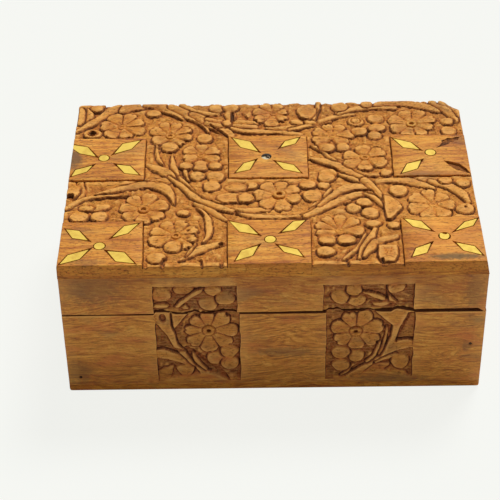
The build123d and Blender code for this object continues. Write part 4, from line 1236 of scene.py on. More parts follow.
# Where the seam crosses a field the knife has made it wander: u, and how far the rim stands up.
RIM_WAVE = [(-57.6, 0), (-56.8, 1.5), (-52, 1.7), (-50, 1.3), (-47, 0.3), (-41, 0.1), (-39.5, 0.8),
            (-38, 1.2), (-35.5, 0.1), (-29, 0.1), (-26.5, 0.8), (-24, 1.2), (-20, 0.9), (-17.2, 0.2),
            (-15.4, 0), (24.6, 0), (25.5, 1.2), (28, 1.4), (31, 1.4), (33.5, 0.3), (38, 0.1), (42, 0.4),
            (45, 1.3), (47.5, 1.0), (51, 0.4), (56, 0.3), (57.5, 1.5), (59, 2.2), (62, 1.6), (66, 0.7),
            (68.2, 0)]
# How far the foot of the rail stands above the rim there.
SEAM_GAP = [(-57, 0.6), (-41, 0.7), (-38, 0.8), (-29, 0.7), (-24, 1.0), (-18, 1.1), (25, 1.0),
            (31, 1.1), (34, 0.6), (45, 0.9), (51, 0.5), (56, 0.6), (58.5, 1.2), (66, 1.0)]


def rim_lift(u):
    """How far the rim of the base stands above its plain height."""
    return np.interp(u, *np.array(RIM_WAVE).T)


def base_rim(u, v):
    """Lift the net's high edge to the worn rim of the base."""
    return v + rim_lift(u) * np.clip((v - rim + 7) / 7, 0, 1) ** 2


carved_board(
    "base_carved_front", (left, base_right), (base_low[2], rim),
    [(-57.2, -16.3, FIELD_SILL, rim), (25.2, 67.8, FIELD_SILL, rim)],
    base_left_field + base_right_field, on_front, front_back, "base", "base_front_board",
    (0.8, 0.8, 0.12, 0.3), foot=base_rim, pits=front_nails, seam_shade_rows=(-1,), seed=41,
)

# %% [markdown]
# The front rail of the lid has warped. Its foot rises from left to right, with a short land that
# still touches at the right-hand corner. Where the carved fields cross the seam it follows the
# wandering rim, with a gap. The foot is a rule that squeezes the net upwards.

# %% The front rail of the lid
LAND, GAP_LEFT, GAP_RIGHT = 1.8, 0.6, 2.2


def rail_foot(u, v):
    """Lift the net's low edge to the worn foot of the rail."""
    along = np.clip((u - left) / (lid_right - LAND - left), 0, 1)
    gap = GAP_LEFT + (GAP_RIGHT - GAP_LEFT) * along**1.3 + 0.12 * unevenness(u, u * 0, 9.0, 72)
    above_rim = np.interp(u, *np.array(SEAM_GAP).T) + 0.2 * unevenness(u, u * 0, 4.0, 73)
    gap = np.maximum(gap, rim_lift(u) + above_rim)
    gap = np.where(u > lid_right - LAND, 0.05, gap)
    return v + gap * np.clip((rail_top - v) / (rail_top - rim), 0, 1) ** 2


carved_board(
    "lid_carved_front_rail", (rail_low[0], rail_high[0]), (rim, rail_top),
    [(-57.5, -17.4, rim, FIELD_TOP), (23.5, 66.6, rim, FIELD_TOP)], lid_left_field + lid_right_field,
    on_front, front_back, "lid", "lid_front_rail",
    (0.8, 0.8, 0.25, 0.12), foot=rail_foot, seam_shade_rows=(0,), seed=51,
)

# %% The ends of the base and of the lid
def moved_along(forms, by):
    """The same forms, further along the face."""
    moved = []
    for kind, values, options in forms:
        if kind is flower:
            eye, tips = values
            values = ((eye[0] + by, eye[1]), [(u + by, v) for u, v in tips])
        elif isinstance(values[0], tuple):
            values = tuple((u + by, *rest) for u, *rest in values)
        else:
            values = (values[0] + by, *values[1:])
        moved.append((kind, values, options))
    return moved


end_field = moved_along(base_left_field, -FIELD_CENTRE)
end_rail_field = moved_along(lid_left_field, -FIELD_CENTRE)
for side, sign, seed, base_face, lid_face in (("left", 1, 61, left, left),
                                              ("right", -1, 81, base_right, lid_right)):
    for name, node, body, carving, span, low, high, face, arris in (
        (f"base_carved_{side}_end", f"base_{side}_board", "base", end_field, (base_low[2], rim),
         FIELD_SILL, rim, base_face, (0.12, 0.12, 0.12, 0.35)),
        (f"lid_carved_{side}_rail", f"lid_{side}_rail", "lid", end_rail_field, (rim, rail_top),
         rim, FIELD_TOP, lid_face, (0.12, 0.12, 0.35, 0.12)),
    ):
        def on_end(u, v, depth, face=face, sign=sign):
            """A place on an end, drawn from its own left to its own right."""
            return np.stack([face + sign * depth, -sign * u, v], -1)

        def end_back(x, y, z, face=face, sign=sign):
            """The inner face of an end, straight behind a point on its edge."""
            return face + sign * wall, y, z

        carved_board(
            name, (end_low[1], end_high[1]), span, [field(0, low, high)], carving, on_end, end_back,
            body, node, arris, shift=FIELD_CENTRE, seed=seed,
        )

# %% [markdown]
# ## Shader helpers
#
# A finish is a tree of shader nodes. Written out, the trees are long, so three small classes carry
# them. A **Wire** is an output socket on which + - * work, a **Tree** adds one node at a time, and a
# **Finish** is the tree of a material.

# %% Wires and finishes
class Wire:
    """One output of a shader node. Arithmetic on it adds Math nodes."""

    def __init__(self, finish, socket):
        self.finish, self.socket = finish, socket

    def math(self, operation, *values):
        return self.finish.node("ShaderNodeMath", {"operation": operation}, dict(enumerate(values)))

    def __add__(self, other):
        return self.math("ADD", self, other)

    def __radd__(self, other):
        return self.math("ADD", other, self)

    def __sub__(self, other):
        return self.math("SUBTRACT", self, other)

    def __rsub__(self, other):
        return self.math("SUBTRACT", other, self)

    def __mul__(self, other):
        return self.math("MULTIPLY", self, other)

    def __rmul__(self, other):
        return self.math("MULTIPLY", other, self)

    def vector(self, operation, other, out=0):
        """Vector maths with another vector."""
        inputs = {0: self} if other is None else {0: self, 1: other}
        return self.finish.node("ShaderNodeVectorMath", {"operation": operation}, inputs, out)

    def stretched(self, factors):
        """A vector times a vector."""
        return self.vector("MULTIPLY", factors)

    def moved(self, offset):
        """A vector plus a vector."""
        return self.vector("ADD", offset)

    def ramp(self, low, high, to_low=0.0, to_high=1.0):
        """A smooth slope from to_low at low to to_high at high."""
        return self.finish.node(
            "ShaderNodeMapRange", {"interpolation_type": "SMOOTHSTEP"},
            {"Value": self, "From Min": low, "From Max": high, "To Min": to_low, "To Max": to_high},
        )


def paint(red, green, blue):
    """A colour as it looks on a screen, 0 to 255, turned into the light values that shaders use."""
    values = np.array([red, green, blue]) / 255
    linear = np.where(values < 0.04045, values / 12.92, ((values + 0.055) / 1.055) ** 2.4)
    return (*linear.tolist(), 1.0)


class Tree:
    """A tree of nodes that is written one node at a time."""

    def node(self, kind, settings=None, inputs=None, out=0):
        """Add a node: its settings first, then a value or a wire for each socket named."""
        node = self.tree.nodes.new(kind)
        for key, value in (settings or {}).items():
            if key == "stops":
                ramp = node.color_ramp
                while len(ramp.elements) < len(value):
                    ramp.elements.new(0.5)
                for element, (position, colour) in zip(ramp.elements, value):
                    element.position, element.color = position, colour
            else:
                setattr(node, key, value)
        for key, value in (inputs or {}).items():
            if isinstance(value, Wire):
                self.tree.links.new(value.socket, node.inputs[key])
            else:
                node.inputs[key].default_value = value
        return Wire(self, node.outputs[out])

    def end(self, kind, wire):
        """Close the tree with its output node."""
        last = self.tree.nodes.new(kind)
        self.tree.links.new(wire.socket, last.inputs[0])


class Finish(Tree):
    """A material and the tree of nodes in it."""

    def __init__(self, name):
        self.material = bpy.data.materials.new(name)
        self.material.use_nodes = True
        self.tree = self.material.node_tree
        self.tree.nodes.clear()

    def mix(self, factor, under, over):
        """Lay one colour over another."""
        return self.node("ShaderNodeMix", {"data_type": "RGBA"}, {0: factor, 6: under, 7: over}, out=2)

    def layers(self, colour, *layers):
        """Lay thin layers over a colour in order, each how much of it there is and its colour."""
        for amount, shade in layers:
            colour = self.mix(amount, colour, paint(*shade))
        return colour

    def noise(self, place, scale, detail=2.0, roughness=0.5, out=0, distortion=0.0):
        """Cloudy values about 0.5."""
        inputs = {"Vector": place, "Scale": scale, "Detail": detail, "Roughness": roughness,
                  "Distortion": distortion}
        return self.node("ShaderNodeTexNoise", {}, inputs, out=out)

    def place(self, turn=0.0):
        """The object's own coordinates in mm, turned about the upright."""
        own = self.node("ShaderNodeTexCoord", out="Object")
        inputs = {"Vector": own, "Rotation": (0, 0, turn), "Scale": (1000, 1000, 1000)}
        return self.node("ShaderNodeMapping", {}, inputs)

    def bump(self, strength, height):
        """A bump whose height is given in mm."""
        inputs = {"Strength": strength, "Distance": MM, "Height": height}
        return self.node("ShaderNodeBump", {}, inputs)

    def mark(self, name):
        """A mark kept on the mesh."""
        return self.node("ShaderNodeAttribute", {"attribute_name": name}, out="Fac")

    def surface(self, **sockets):
        """Close the tree with a Principled BSDF. Socket names are written with _ for a space."""
        inputs = {key.replace("_", " "): value for key, value in sockets.items()}
        self.end("ShaderNodeOutputMaterial", self.node("ShaderNodeBsdfPrincipled", {}, inputs))
        return self.material


# %% [markdown]
# ## Sheesham
#
# Sheesham is a warm red-brown timber with long streaks, short dark pores that lie along the grain,
# and pale fibres. Handling has polished the high places paler and left dark dirt in the cuts, with
# a reddish halo round it. Part of the paleness is a painted highlight, and part of the darkness in
# the cuts and their halo is painted shade. The ground of the carving was stippled with a punch and
# chipped by the gouge, which shows as small dents, light chips and dark nicks.
#
# The streaks are noise stretched along the grain and pushed about by a slower noise, so that they
# wander. The pores are the same noise, finer, with only its peaks kept, and so are the nicks.

# %% The wood's finish
def sheesham(name, turn=0.0, stains=(), ground=(158, 94, 44), ground_share=0.14, figure=1.0,
             wave=9.0, dust=0.0, dark_pores=0.7, patchy=0.0, hatched=0.0):
    """Oiled sheesham with its grain along X, or along Y when turned a quarter. ground is the colour
    of the sunk parts and ground_share how much of it shows. figure is how strong the streaks are,
    wave how far they wander, in mm, and dark_pores how dark the pores are. patchy gives red and
    green patches, hatched cuts level ticks across the sunk parts, and dust pales the raised ones."""
    f = Finish(name)
    place = f.place(turn)
    drift = f.noise(place.stretched((0.018, 0.05, 0.05)), 1.0, 2.0, out="Color")
    wander = drift.stretched((0.0, wave, wave))
    bent = place.stretched((0.055, 1.0, 1.0)).moved(wander)
    streaks = f.noise(bent, 0.34, 3.0, 0.55)
    fibres = f.noise(bent, 1.5, 3.0, 0.6)
    dashes = f.noise(place.stretched((0.13, 1.0, 1.0)).moved(wander), 0.95, 3.0, 0.65)
    pores = f.noise(place.stretched((0.22, 1.0, 1.0)).moved(wander), 2.1, 2.0, 0.5).ramp(0.58, 0.68)
    clouds = f.noise(place, 0.045, 2.0, 0.5)
    flecks = f.noise(place, 0.9, 3.0, 0.65)
    sunk, grime, wear = f.mark("sunk"), f.mark("grime"), f.mark("wear")
    plain = sunk.ramp(0.03, 0.09, 1.0, 0.5)
    ripples = f.noise(place.stretched((0.03, 1.0, 1.0)).moved(wander), 0.75, 1.0, 0.5)
    grain = (streaks - 0.5) * (1.1 - 0.5 * patchy) + (fibres - 0.5) * (1 + patchy)
    grain = grain + (clouds - 0.5) * 0.6 + (ripples - 0.5) * patchy
    tone = grain * plain * figure + 0.53
    colour = f.node("ShaderNodeValToRGB", {"stops": [
        (0.16, paint(148, 82, 30)), (0.42, paint(198, 123, 43)), (0.60, paint(220, 147, 53)),
        (0.88, paint(240, 176, 76)),
    ]}, {"Fac": tone})
    red = f.noise(place.stretched((0.35, 1.0, 1.0)), 0.13, 3.0, 0.6).ramp(0.5, 0.68)
    green = f.noise(place.stretched((0.5, 1, 1)), 0.06, 3.0, 0.6).ramp(0.54, 0.72)
    colour = f.layers(
        colour,
        (dashes.ramp(0.54, 0.66) * plain * (0.97 * figure * dark_pores), (140, 74, 28)),
        (pores * dark_pores, (104, 54, 22)),
        (red * (0.5 * patchy), (214, 112, 52)),
        (flecks.ramp(0.52, 0.68) * 0.36, (200, 94, 38)),
        (green * (0.34 + 0.25 * patchy), (138, 104, 62)),
    )
    for (u, v, w), (a, b, c), strength, stain in stains:
        offset = place.moved((-u, -v, -w)).stretched((1 / a, 1 / b, 1 / c))
        far = offset.vector("LENGTH", None, out="Value")
        ragged = far + (f.noise(place, 0.35, 3.0, 0.6) - 0.5) * 1.3
        colour = f.mix(ragged.ramp(0.35, 1.05, strength, 0.0), colour, stain)
    punch = f.node("ShaderNodeTexVoronoi", {"feature": "F1"}, {"Vector": place, "Scale": 0.9},
                   out="Distance")
    deep = sunk.ramp(0.3, 0.8)
    dents = punch.ramp(0.1, 0.55) * deep
    chips = f.noise(place, 1.05, 3.0, 0.7, distortion=0.6)
    ticks = f.node("ShaderNodeTexWave", {"wave_type": "BANDS", "bands_direction": "Z"},
                   {"Vector": place, "Scale": 0.165, "Distortion": 2.2, "Detail": 2.0,
                    "Detail Scale": 1.2}, out="Fac")
    ticks = ticks.ramp(0.4, 0.8) * deep * hatched
    nicks = f.noise(place.stretched((0.7, 1, 1)), 0.75, 4.0, 0.75, distortion=1.0).ramp(0.57, 0.65)
    nicks = nicks * sunk.ramp(0.04, 0.12)
    colour = f.layers(
        colour,
        (deep * ground_share, ground),
        (chips.ramp(0.5, 0.66) * deep * 0.5, (118, 69, 31)),
        (chips.ramp(0.34, 0.5, 1.0, 0.0) * deep * 0.42, (242, 170, 84)),
        (ticks * 0.75, (192, 124, 68)),
        (nicks * 0.42, (150, 76, 30)),
        # Dirt and painted shade: a reddish halo, then brown, then nearly black in the deepest cuts.
        (grime.ramp(0.0, 0.4) * (0.3 + 0.28 * hatched), (206, 106, 48)),
        (grime.ramp(0.16, 0.92) * 0.8, (74, 38, 16)),
        (grime.ramp(0.9, 1.0) * 0.6, (20, 11, 6)),
        # Polish and painted highlight on the high places.
        (wear * 0.58, (255, 190, 98)),
        (deep * (-0.7 * dust) + dust, (196, 178, 160)),
    )
    height = fibres * 0.12 - pores * 0.12 + flecks * 0.1 + dents * 0.25 + chips * deep * 0.5
    height = height + ticks * 0.4 - nicks * 0.45
    bump = f.bump(0.85, height)
    rough = 0.56 + (fibres - 0.5) * 0.3 + sunk * 0.16
    return f.surface(Base_Color=colour, Roughness=rough, Normal=bump, Specular_IOR_Level=0.2)


# Each is a place, how far it reaches along X, Y and Z in mm, its strength and its colour. Most are
# stains of oil and dirt. The ones marked as tints only warm or darken a whole region a little.
LID_STAINS = [
    ((-101, 19, 80), (8, 12, 30), 0.85, paint(106, 76, 46)),
    ((85, -63.8, 79), (16, 3.0, 9), 0.85, paint(104, 82, 44)),
    ((-87, -65, 79), (12, 3.5, 9), 0.55, paint(128, 84, 44)),
    ((74, 0.5, 80), (13, 4.6, 30), 0.65, paint(124, 80, 46)),
    ((97, 30, 80), (5, 6, 30), 0.5, paint(110, 68, 40)),
    ((95, 68, 78), (14, 9, 30), 0.55, paint(96, 74, 44)),
    ((0, 68, 80), (130, 15, 30), 0.22, paint(120, 76, 38)),
    ((84, -47, 80), (24, 17, 30), 0.3, paint(250, 160, 62)),  # tint
    ((34, -12, 80), (105, 30, 30), 0.24, paint(255, 178, 84)),  # tint
]
FRONT_STAINS = [
    ((-86, -68, 66), (20, 30, 13), 0.5, paint(122, 96, 56)),
    ((-40, -68, 73), (26, 30, 4.5), 0.6, paint(112, 88, 50)),
    ((58, -68, 6), (22, 30, 4.5), 0.5, paint(122, 92, 52)),
    ((6, -68, 25), (20, 30, 4), 0.45, paint(126, 98, 56)),
    ((95, -68, 62), (6, 30, 14), 0.45, paint(118, 88, 50)),
    ((94, -68, 27), (3, 30, 4), 0.4, paint(100, 74, 44)),
    ((0, -68, 78), (400, 90, 27), 0.38, paint(150, 78, 5)),  # tint
    ((-50, -68, 24), (75, 30, 24), 0.1, paint(214, 144, 74)),  # tint
    ((-10, -68, 3.3), (85, 30, 0.7), 0.45, paint(96, 66, 34)),
    ((-96, -68, 13), (10, 30, 9), 0.5, paint(128, 88, 46)),
]
QUARTER = math.pi / 2
wood_lid = sheesham("oiled_sheesham_lid", stains=LID_STAINS)
# Dark ground of the front and ends: partly the wood's own colour, partly painted shade in the fields.
DARK_GROUND = (92, 42, 17)
wood_front = sheesham("oiled_sheesham_front", stains=FRONT_STAINS, ground=DARK_GROUND,
                      ground_share=0.66, figure=0.75, wave=18.0, dust=0.04, dark_pores=0.35,
                      patchy=0.9, hatched=1.0)
wood_plain = sheesham("oiled_sheesham_long_boards", figure=0.8, wave=14.0, dark_pores=0.5, patchy=0.6)
wood_ends = sheesham("oiled_sheesham_ends", turn=QUARTER, ground=DARK_GROUND, ground_share=0.6,
                     figure=0.8, wave=14.0, dark_pores=0.4, patchy=0.8, hatched=1.0)
print("wood finishes ready")

# %% [markdown]
# ## Brass and steel
#
# The petals were sawn from brass sheet and filed flush with the wood after they were glued in, so
# they are matt, pale yellow and covered with fine straight scratches. The pin that stands in for a
# lost dot is an upholstery nail of dark steel, with a painted glint on its side towards the left
# front.

# %% Metal finishes
def brass(name, shine, clean, tarnish, turn=0.0, metal=1.0):
    """Filed brass, duller in patches. A little soiling lowers metal, which softens its glare."""
    f = Finish(name)
    place = f.place(turn)
    patches = f.noise(place, 0.22, 4.0, 0.6)
    file_marks = f.noise(place.stretched((0.12, 3.2, 3.2)), 1.0, 2.0, 0.6)
    grit = f.noise(place, 2.4, 2.0, 0.6)
    colour = f.mix(patches.ramp(0.44, 0.72) * 0.75, clean, tarnish)
    colour = f.mix(grit.ramp(0.6, 0.78) * 0.45, colour, paint(150, 112, 44))
    bump = f.bump(0.35, file_marks * 0.05 + grit * 0.03)
    rough = shine + (file_marks - 0.5) * 0.25 + (patches - 0.5) * 0.3
    return f.surface(Base_Color=colour, Roughness=rough, Metallic=metal, Normal=bump)


def dark_steel(name, colour, rust):
    """Blued steel with a little rust."""
    f = Finish(name)
    place = f.place()
    bloom = f.noise(place, 1.1, 4.0, 0.65)
    tone = f.mix(bloom.ramp(0.48, 0.7) * 0.7, colour, rust)
    bump = f.bump(0.3, bloom * 0.06)
    rough = bloom.ramp(0.3, 0.7, 0.2, 0.5)
    return f.surface(Base_Color=tone, Roughness=rough, Metallic=1.0, Normal=bump)


inlay_brass = brass("filed_inlay_brass", 0.62, paint(212, 181, 69), paint(194, 156, 54), turn=0.6,
                    metal=0.35)
hinge_brass = brass("aged_hinge_brass", 0.42, paint(206, 172, 88), paint(142, 108, 50))
nail_steel = dark_steel("panel_pin_steel", paint(66, 48, 34), paint(84, 54, 34))


def steel_with_painted_glint(name, node):
    """Dark steel with a painted glint: pale colour on the side of one piece that faces the left front.
    """
    f = Finish(name)
    place = f.place()
    low, high = node_box(node)
    centre = (low + high) / 2
    from_centre = place.moved((-centre[0], -centre[1], -high[2])).stretched((-0.2, -0.55, 0.0))
    side = from_centre.vector("DOT_PRODUCT", (1, 1, 0), out="Value")
    blotches = f.noise(place, 0.7, 3.0, 0.6)
    # Painted glint: pale colour on the side towards the left front, where a lamp's reflection would be.
    painted_glint = (side + (blotches - 0.5) * 2.4).ramp(0.6, 1.0)
    tone = f.mix(painted_glint, paint(30, 22, 14), paint(224, 208, 174))
    bump = f.bump(0.4, blotches * 0.3)
    rough = painted_glint.ramp(0.0, 1.0, 0.3, 0.22)
    return f.surface(Base_Color=tone, Roughness=rough, Metallic=1.0, Normal=bump)


pin_steel = steel_with_painted_glint("pin_steel_with_painted_glint", "steel_pin")


def finish_with(piece, material):
    """Give a piece one material, whether it has a slot for it yet or not."""
    if piece.data.materials:
        for slot in piece.material_slots:
            slot.material = material
    else:
        piece.data.materials.append(material)


for name, node in frame["nodes"].items():
    if name.startswith("inlay_"):
        finish_with(node, inlay_brass)
    elif name == "steel_pin":
        finish_with(node, pin_steel)
    elif name.startswith("hinge_"):
        finish_with(node, hinge_brass)
    elif "nails" in name:
        finish_with(node, nail_steel)
    else:
        finish_with(node, wood_plain)
for piece in bpy.context.scene.objects:
    if piece.name in ("base_carved_front", "lid_carved_front_rail"):
        finish_with(piece, wood_front)
    elif piece.name == "lid_carved_board":
        finish_with(piece, wood_lid)
    elif piece.name == "inlay_scrap_dot":
        finish_with(piece, inlay_brass)
    elif piece.name.startswith(("base_carved_", "lid_carved_")):
        finish_with(piece, wood_ends)

# %% [markdown]
# ## What repeats: eyes, nails and screws
#
# The drilled eye of every flower is the same ring, and so are the heads of the nails and the
# slotted screws of the hinges the same among themselves. Geometry Nodes suit that: one recipe makes
# the thing once and sets it on each spot, turned to face the way that spot faces. The recipe's sizes
# are named inputs, so a second kind of board could use it with other sizes. At the end the copies
# are made real and kept as a plain mesh, one for each set of spots, fixed to its body.

# %% A recipe and how it is used
class Recipe(Tree):
    """A Geometry Nodes tree with named sizes, given in mm."""

    def __init__(self, name, sizes):
        self.tree = bpy.data.node_groups.new(name, "GeometryNodeTree")
        self.tree.is_modifier = True
        face = self.tree.interface
        face.new_socket("Spots", in_out="INPUT", socket_type="NodeSocketGeometry")
        for label, size in sizes.items():
            socket = face.new_socket(label, in_out="INPUT", socket_type="NodeSocketFloat")
            socket.default_value = size
        face.new_socket("Made", in_out="OUTPUT", socket_type="NodeSocketGeometry")
        entry = self.tree.nodes.new("NodeGroupInput")
        self.given = {s.name: Wire(self, s) for s in entry.outputs if s.name}

    def vector(self, x=0.0, y=0.0, z=0.0):
        return self.node("ShaderNodeCombineXYZ", {}, {0: x, 1: y, 2: z})

    def moved(self, geometry, offset, scale=(1, 1, 1)):
        inputs = {"Geometry": geometry, "Translation": offset, "Scale": scale}
        return self.node("GeometryNodeTransform", {}, inputs)

    def joined(self, *parts):
        join = self.tree.nodes.new("GeometryNodeJoinGeometry")
        for part in parts:
            self.tree.links.new(part.socket, join.inputs[0])
        return Wire(self, join.outputs[0])

    def cone(self, low_radius, high_radius, height, low_z, sides=24):
        """A cone or drum standing on a height."""
        inputs = {"Vertices": sides, "Radius Top": high_radius, "Radius Bottom": low_radius,
                  "Depth": height}
        drum = self.node("GeometryNodeMeshCone", {}, inputs)
        return self.moved(drum, self.vector(z=low_z))

    def set_on_spots(self, thing, material, spin=0.0):
        """Set a thing on every spot, facing its way and spun by a fixed random amount."""
        facing = self.node("GeometryNodeInputNamedAttribute", {"data_type": "FLOAT_VECTOR"},
                           {"Name": "facing"})
        turn = self.node("FunctionNodeAlignRotationToVector", {"axis": "Z"}, {"Vector": facing})
        chance = self.node("FunctionNodeRandomValue", {"data_type": "FLOAT"},
                           {2: -spin, 3: spin, "Seed": 7}, out=1)
        twist = self.node("FunctionNodeAxisAngleToRotation", {}, {"Axis": (0, 0, 1), "Angle": chance})
        whole = self.node("FunctionNodeRotateRotation", {"rotation_space": "LOCAL"},
                          {"Rotation": turn, "Rotate By": twist})
        size = self.node("GeometryNodeInputNamedAttribute", {"data_type": "FLOAT"}, {"Name": "size"})
        placed = self.node("GeometryNodeInstanceOnPoints", {}, {
            "Points": self.given["Spots"], "Instance": thing, "Rotation": whole, "Scale": size})
        real = self.node("GeometryNodeRealizeInstances", {}, {"Geometry": placed})
        shaded = self.node("GeometryNodeSetShadeSmooth", {}, {"Geometry": real, "Shade Smooth": False})
        painted = self.node("GeometryNodeSetMaterial", {}, {"Geometry": shaded, "Material": material})
        self.end("NodeGroupOutput", painted)


def set_out(name, recipe, spots, body, sizes=None, replaced=()):
    """Run a recipe over spots, each (place, facing, size), and keep the result as a plain mesh."""
    mesh = bpy.data.meshes.new(name + "_spots")
    mesh.from_pydata([tuple(np.array(place) * MM) for place, _, _ in spots], [], [])
    facing = mesh.attributes.new("facing", "FLOAT_VECTOR", "POINT")
    facing.data.foreach_set("vector", np.array([way for _, way, _ in spots], np.float32).reshape(-1))
    size = mesh.attributes.new("size", "FLOAT", "POINT")
    size.data.foreach_set("value", np.array([share * MM for _, _, share in spots], np.float32))
    holder = add_object(name + "_spots", mesh)
    modifier = holder.modifiers.new("recipe", "NODES")
    modifier.node_group = recipe.tree
    for item in recipe.tree.interface.items_tree:
        if item.in_out == "INPUT" and item.name in (sizes or {}):
            modifier[item.identifier] = sizes[item.name]
    made = holder.evaluated_get(bpy.context.evaluated_depsgraph_get())
    real = bpy.data.meshes.new_from_object(made)
    bpy.data.objects.remove(holder)
    piece = add_object(name, real)
    piece.data.shade_smooth()
    piece.data.set_sharp_from_angle(angle=math.radians(35))
    if replaced:
        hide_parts(*replaced)
    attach(piece, body)
    print(name, "spots", len(spots), "triangles", triangles_in(piece.data))


# %% The eyes of the flowers
ANY_WAY = 3.1


def eye_recipe(name, material):
    """A turned ring with a drilled hole, sitting in the seat that the carving leaves."""
    eye = Recipe(name, {"Ring Radius": 1.85, "Bead Radius": 0.72, "Rise": 1.6})
    ring, bead = (
        eye.node("GeometryNodeCurvePrimitiveCircle", {}, {"Resolution": points, "Radius": radius})
        for points, radius in ((28, eye.given["Ring Radius"]), (12, eye.given["Bead Radius"]))
    )
    swept = eye.node("GeometryNodeCurveToMesh", {}, {"Curve": ring, "Profile Curve": bead})
    raised = eye.moved(swept, eye.vector(z=eye.given["Rise"]), (1, 1, 0.8))
    eye.set_on_spots(raised, material, spin=ANY_WAY)
    return eye


UP, DOWN, TO_FRONT, TO_BACK = (0, 0, 1), (0, 0, -1), (0, -1, 0), (0, 1, 0)
ground = lid_top - GROUND_DEPTH
lid_eyes = [((*eye, ground), UP, size) for (eye, _), size in zip(lid_flowers, EYE_SIZES)]
set_out("lid_flower_eyes", eye_recipe("lid_eye", wood_lid), lid_eyes, "lid")
floor_of_field = front + FIELD_DEPTH
base_eyes = [((eye[0], floor_of_field, eye[1]), TO_FRONT, 1.1) for eye, _ in base_flowers]
side_eye = base_flowers[0][0]
from_middle = side_eye[0] - FIELD_CENTRE
base_eyes += [((left + FIELD_DEPTH, -from_middle, side_eye[1]), (-1, 0, 0), 1.0),
              ((base_right - FIELD_DEPTH, from_middle, side_eye[1]), (1, 0, 0), 1.0)]
set_out("base_flower_eyes", eye_recipe("base_eye", wood_front), base_eyes, "base",
        {"Rise": 1.2, "Ring Radius": 1.8, "Bead Radius": 0.88})

# %% [markdown]
# The boards of the base are pinned through the front, the back and the bottom. Each pin has a small
# head with a bevelled edge, punched just below the wood.

# %% Panel pins
pin = Recipe("panel_pin", {"Head Radius": 0.88, "Head Height": 0.5, "Shank Radius": 0.58,
                           "Length": 21.5, "Sink": 0.2})
head_radius, head_height, sunk_by = (pin.given[k] for k in ("Head Radius", "Head Height", "Sink"))
pin_parts = pin.joined(
    pin.cone(head_radius * 0.94, head_radius, head_height * 0.6, 0.0 - sunk_by - head_height),
    pin.cone(head_radius * 0.998, head_radius * 0.62, head_height * 0.4,
             0.0 - sunk_by - head_height * 0.4),
    pin.cone(0.12, pin.given["Shank Radius"], pin.given["Length"],
             0.0 - sunk_by - head_height - pin.given["Length"], 12),
)
pin.set_on_spots(pin_parts, nail_steel, spin=ANY_WAY)


HEAD_REACH, PUNCHED = 9.0, 0.2


def spots_of(node, face_axis, face_side):
    """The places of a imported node's nails or screws on a face, from its own corners."""
    points = np.array([v.co for v in frame["nodes"][node].data.vertices]) / MM
    level = points[:, face_axis].max() if face_side > 0 else points[:, face_axis].min()
    heads = points[abs(points[:, face_axis] - level) < 0.02]
    groups = []
    for point in heads:
        for group in groups:
            if np.hypot(*np.delete(point - group[0], face_axis)) < HEAD_REACH:
                group.append(point)
                break
        else:
            groups.append([point])
    return [(np.min(g, 0) + np.max(g, 0)) / 2 for g in groups]


nail_spots = []
for node, axis, side, way in (("base_front_nails", 1, -1, TO_FRONT), ("base_back_nails", 1, 1, TO_BACK),
                              ("base_bottom_nails", 2, -1, DOWN)):
    for spot in spots_of(node, axis, side):
        spot[axis] += side * PUNCHED
        nail_spots.append((tuple(spot), way, 1.0))
set_out("base_panel_pins", pin, nail_spots, "base",
        replaced=("base_front_nails", "base_back_nails", "base_bottom_nails"))

# %% [markdown]
# The hinges are held by small countersunk brass screws with one slot. They show only when the lid
# is up. No two slots of hand-driven screws end at the same angle.

# %% Hinge screws
screw = Recipe("countersunk_screw", {"Head Radius": 1.58, "Shank Radius": 0.79, "Length": 8.0,
                                     "Slot Width": 0.42, "Slot Depth": 0.4})
screw_head, shank = screw.given["Head Radius"], screw.given["Shank Radius"]
taper = screw_head - shank
blade = screw.node("GeometryNodeMeshCube", {}, {"Size": screw.vector(
    screw_head * 2.4, screw.given["Slot Width"], screw.given["Slot Depth"] * 2)})
turned_head = screw.cone(shank, screw_head, taper, 0.0 - taper, 32)
slotted = screw.node("GeometryNodeMeshBoolean", {"operation": "DIFFERENCE"},
                     {"Mesh 1": turned_head, 1: blade})
tip = screw.cone(0.15, shank * 0.98, screw.given["Length"] - taper, 0.0 - screw.given["Length"], 16)
screw.set_on_spots(screw.joined(slotted, tip), hinge_brass, spin=1.4)
for body, side, way in (("base", 1, UP), ("lid", -1, DOWN)):
    nodes = [f"hinge_{end}_{body}_screws" for end in ("left", "right")]
    spots = [(tuple(spot), way, 1.0) for node in nodes for spot in spots_of(node, 2, side)]
    set_out(f"{body}_hinge_screws", screw, spots, body, replaced=nodes)

# %% [markdown]
# ## The stage
#
# A pale floor, a soft lamp high behind the box and a dim white sky light it as a shop would, on a
# sheet of white paper. Rays that bounce off metal see a white sky, so that the brass looks like brass.

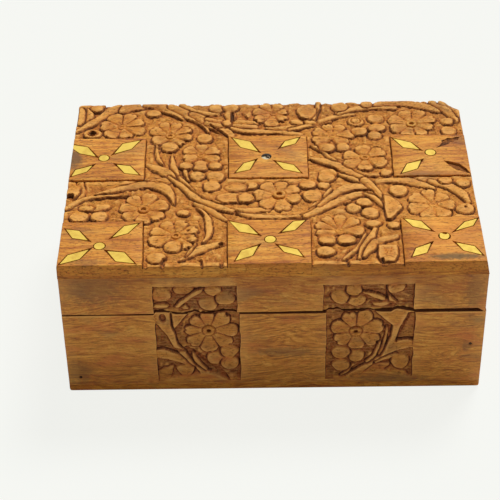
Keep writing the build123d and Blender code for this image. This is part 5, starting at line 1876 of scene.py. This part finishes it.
# %% Floor, light and sky
FLOOR_SIZE = 3.0
floor_mesh = bpy.data.meshes.new("floor")
floor_corners = [(x * FLOOR_SIZE, y * FLOOR_SIZE, 0) for x, y in ((-1, -1), (1, -1), (1, 1), (-1, 1))]
floor_mesh.from_pydata(floor_corners, [], [(0, 1, 2, 3)])
floor = add_object("floor", floor_mesh)
paper = Finish("white_paper")
seen = paper.node("ShaderNodeLightPath", out="Is Camera Ray")
sheet = paper.node("ShaderNodeBsdfDiffuse", {}, {"Color": (0.90, 0.91, 0.90, 1)})
glow = paper.node("ShaderNodeEmission", {}, {"Color": (0.925, 0.935, 0.895, 1), "Strength": 1.0})
both = paper.node("ShaderNodeMixShader", {}, {0: seen * 0.91, 1: sheet, 2: glow})
paper.end("ShaderNodeOutputMaterial", both)
floor_mesh.materials.append(paper.material)

world = bpy.data.worlds.new("white_sky")
bpy.context.scene.world = world
world.use_nodes = True
SKY_LIGHT, SKY_SEEN = 0.238, 0.93
sky = Tree()
sky.tree = world.node_tree
sky.tree.nodes.clear()
camera_ray, glossy_ray = (sky.node("ShaderNodeLightPath", out=f"Is {kind} Ray")
                          for kind in ("Camera", "Glossy"))
straight = camera_ray.math("MAXIMUM", camera_ray, glossy_ray)
strength = sky.node("ShaderNodeMapRange", {},
                    {"Value": straight, "To Min": SKY_LIGHT, "To Max": SKY_SEEN})
background = sky.node("ShaderNodeBackground", {}, {"Color": (1, 1, 1, 1), "Strength": strength})
sky.end("ShaderNodeOutputWorld", background)

lamp_data = bpy.data.lights.new("soft_lamp", "SUN")
lamp_data.energy, lamp_data.angle = 2.66, math.radians(20)
lamp = add_object("soft_lamp", lamp_data)
lamp.rotation_euler = Vector((0.30, 0.56, 1)).to_track_quat("Z", "Y").to_euler()

# %% Camera
PITCH, YAW, ROLL = (math.radians(a) for a in (38.85, 0.33, -0.92))
LOOK_AT, DISTANCE = Vector((-11.32, 0, 33.85)) * MM, 828.05 * MM
behind = Vector((math.sin(YAW) * math.cos(PITCH), -math.cos(YAW) * math.cos(PITCH), math.sin(PITCH)))
right = (-behind).cross(Vector((0, 0, 1))).normalized()
upward = right.cross(-behind)
turned_right = math.cos(ROLL) * right + math.sin(ROLL) * upward
turned_up = math.cos(ROLL) * upward - math.sin(ROLL) * right
camera_data = bpy.data.cameras.new("camera")
camera_data.lens, camera_data.sensor_width = 115.2, 36
camera_data.clip_start = 0.01
camera = add_object("camera", camera_data)
stand = Matrix((turned_right, turned_up, behind)).transposed().to_4x4()
stand.translation = LOOK_AT + behind * DISTANCE
camera.matrix_world = stand
bpy.context.scene.camera = camera
bpy.context.scene.view_settings.view_transform = "Standard"
print("camera at", [round(c, 3) for c in stand.translation])
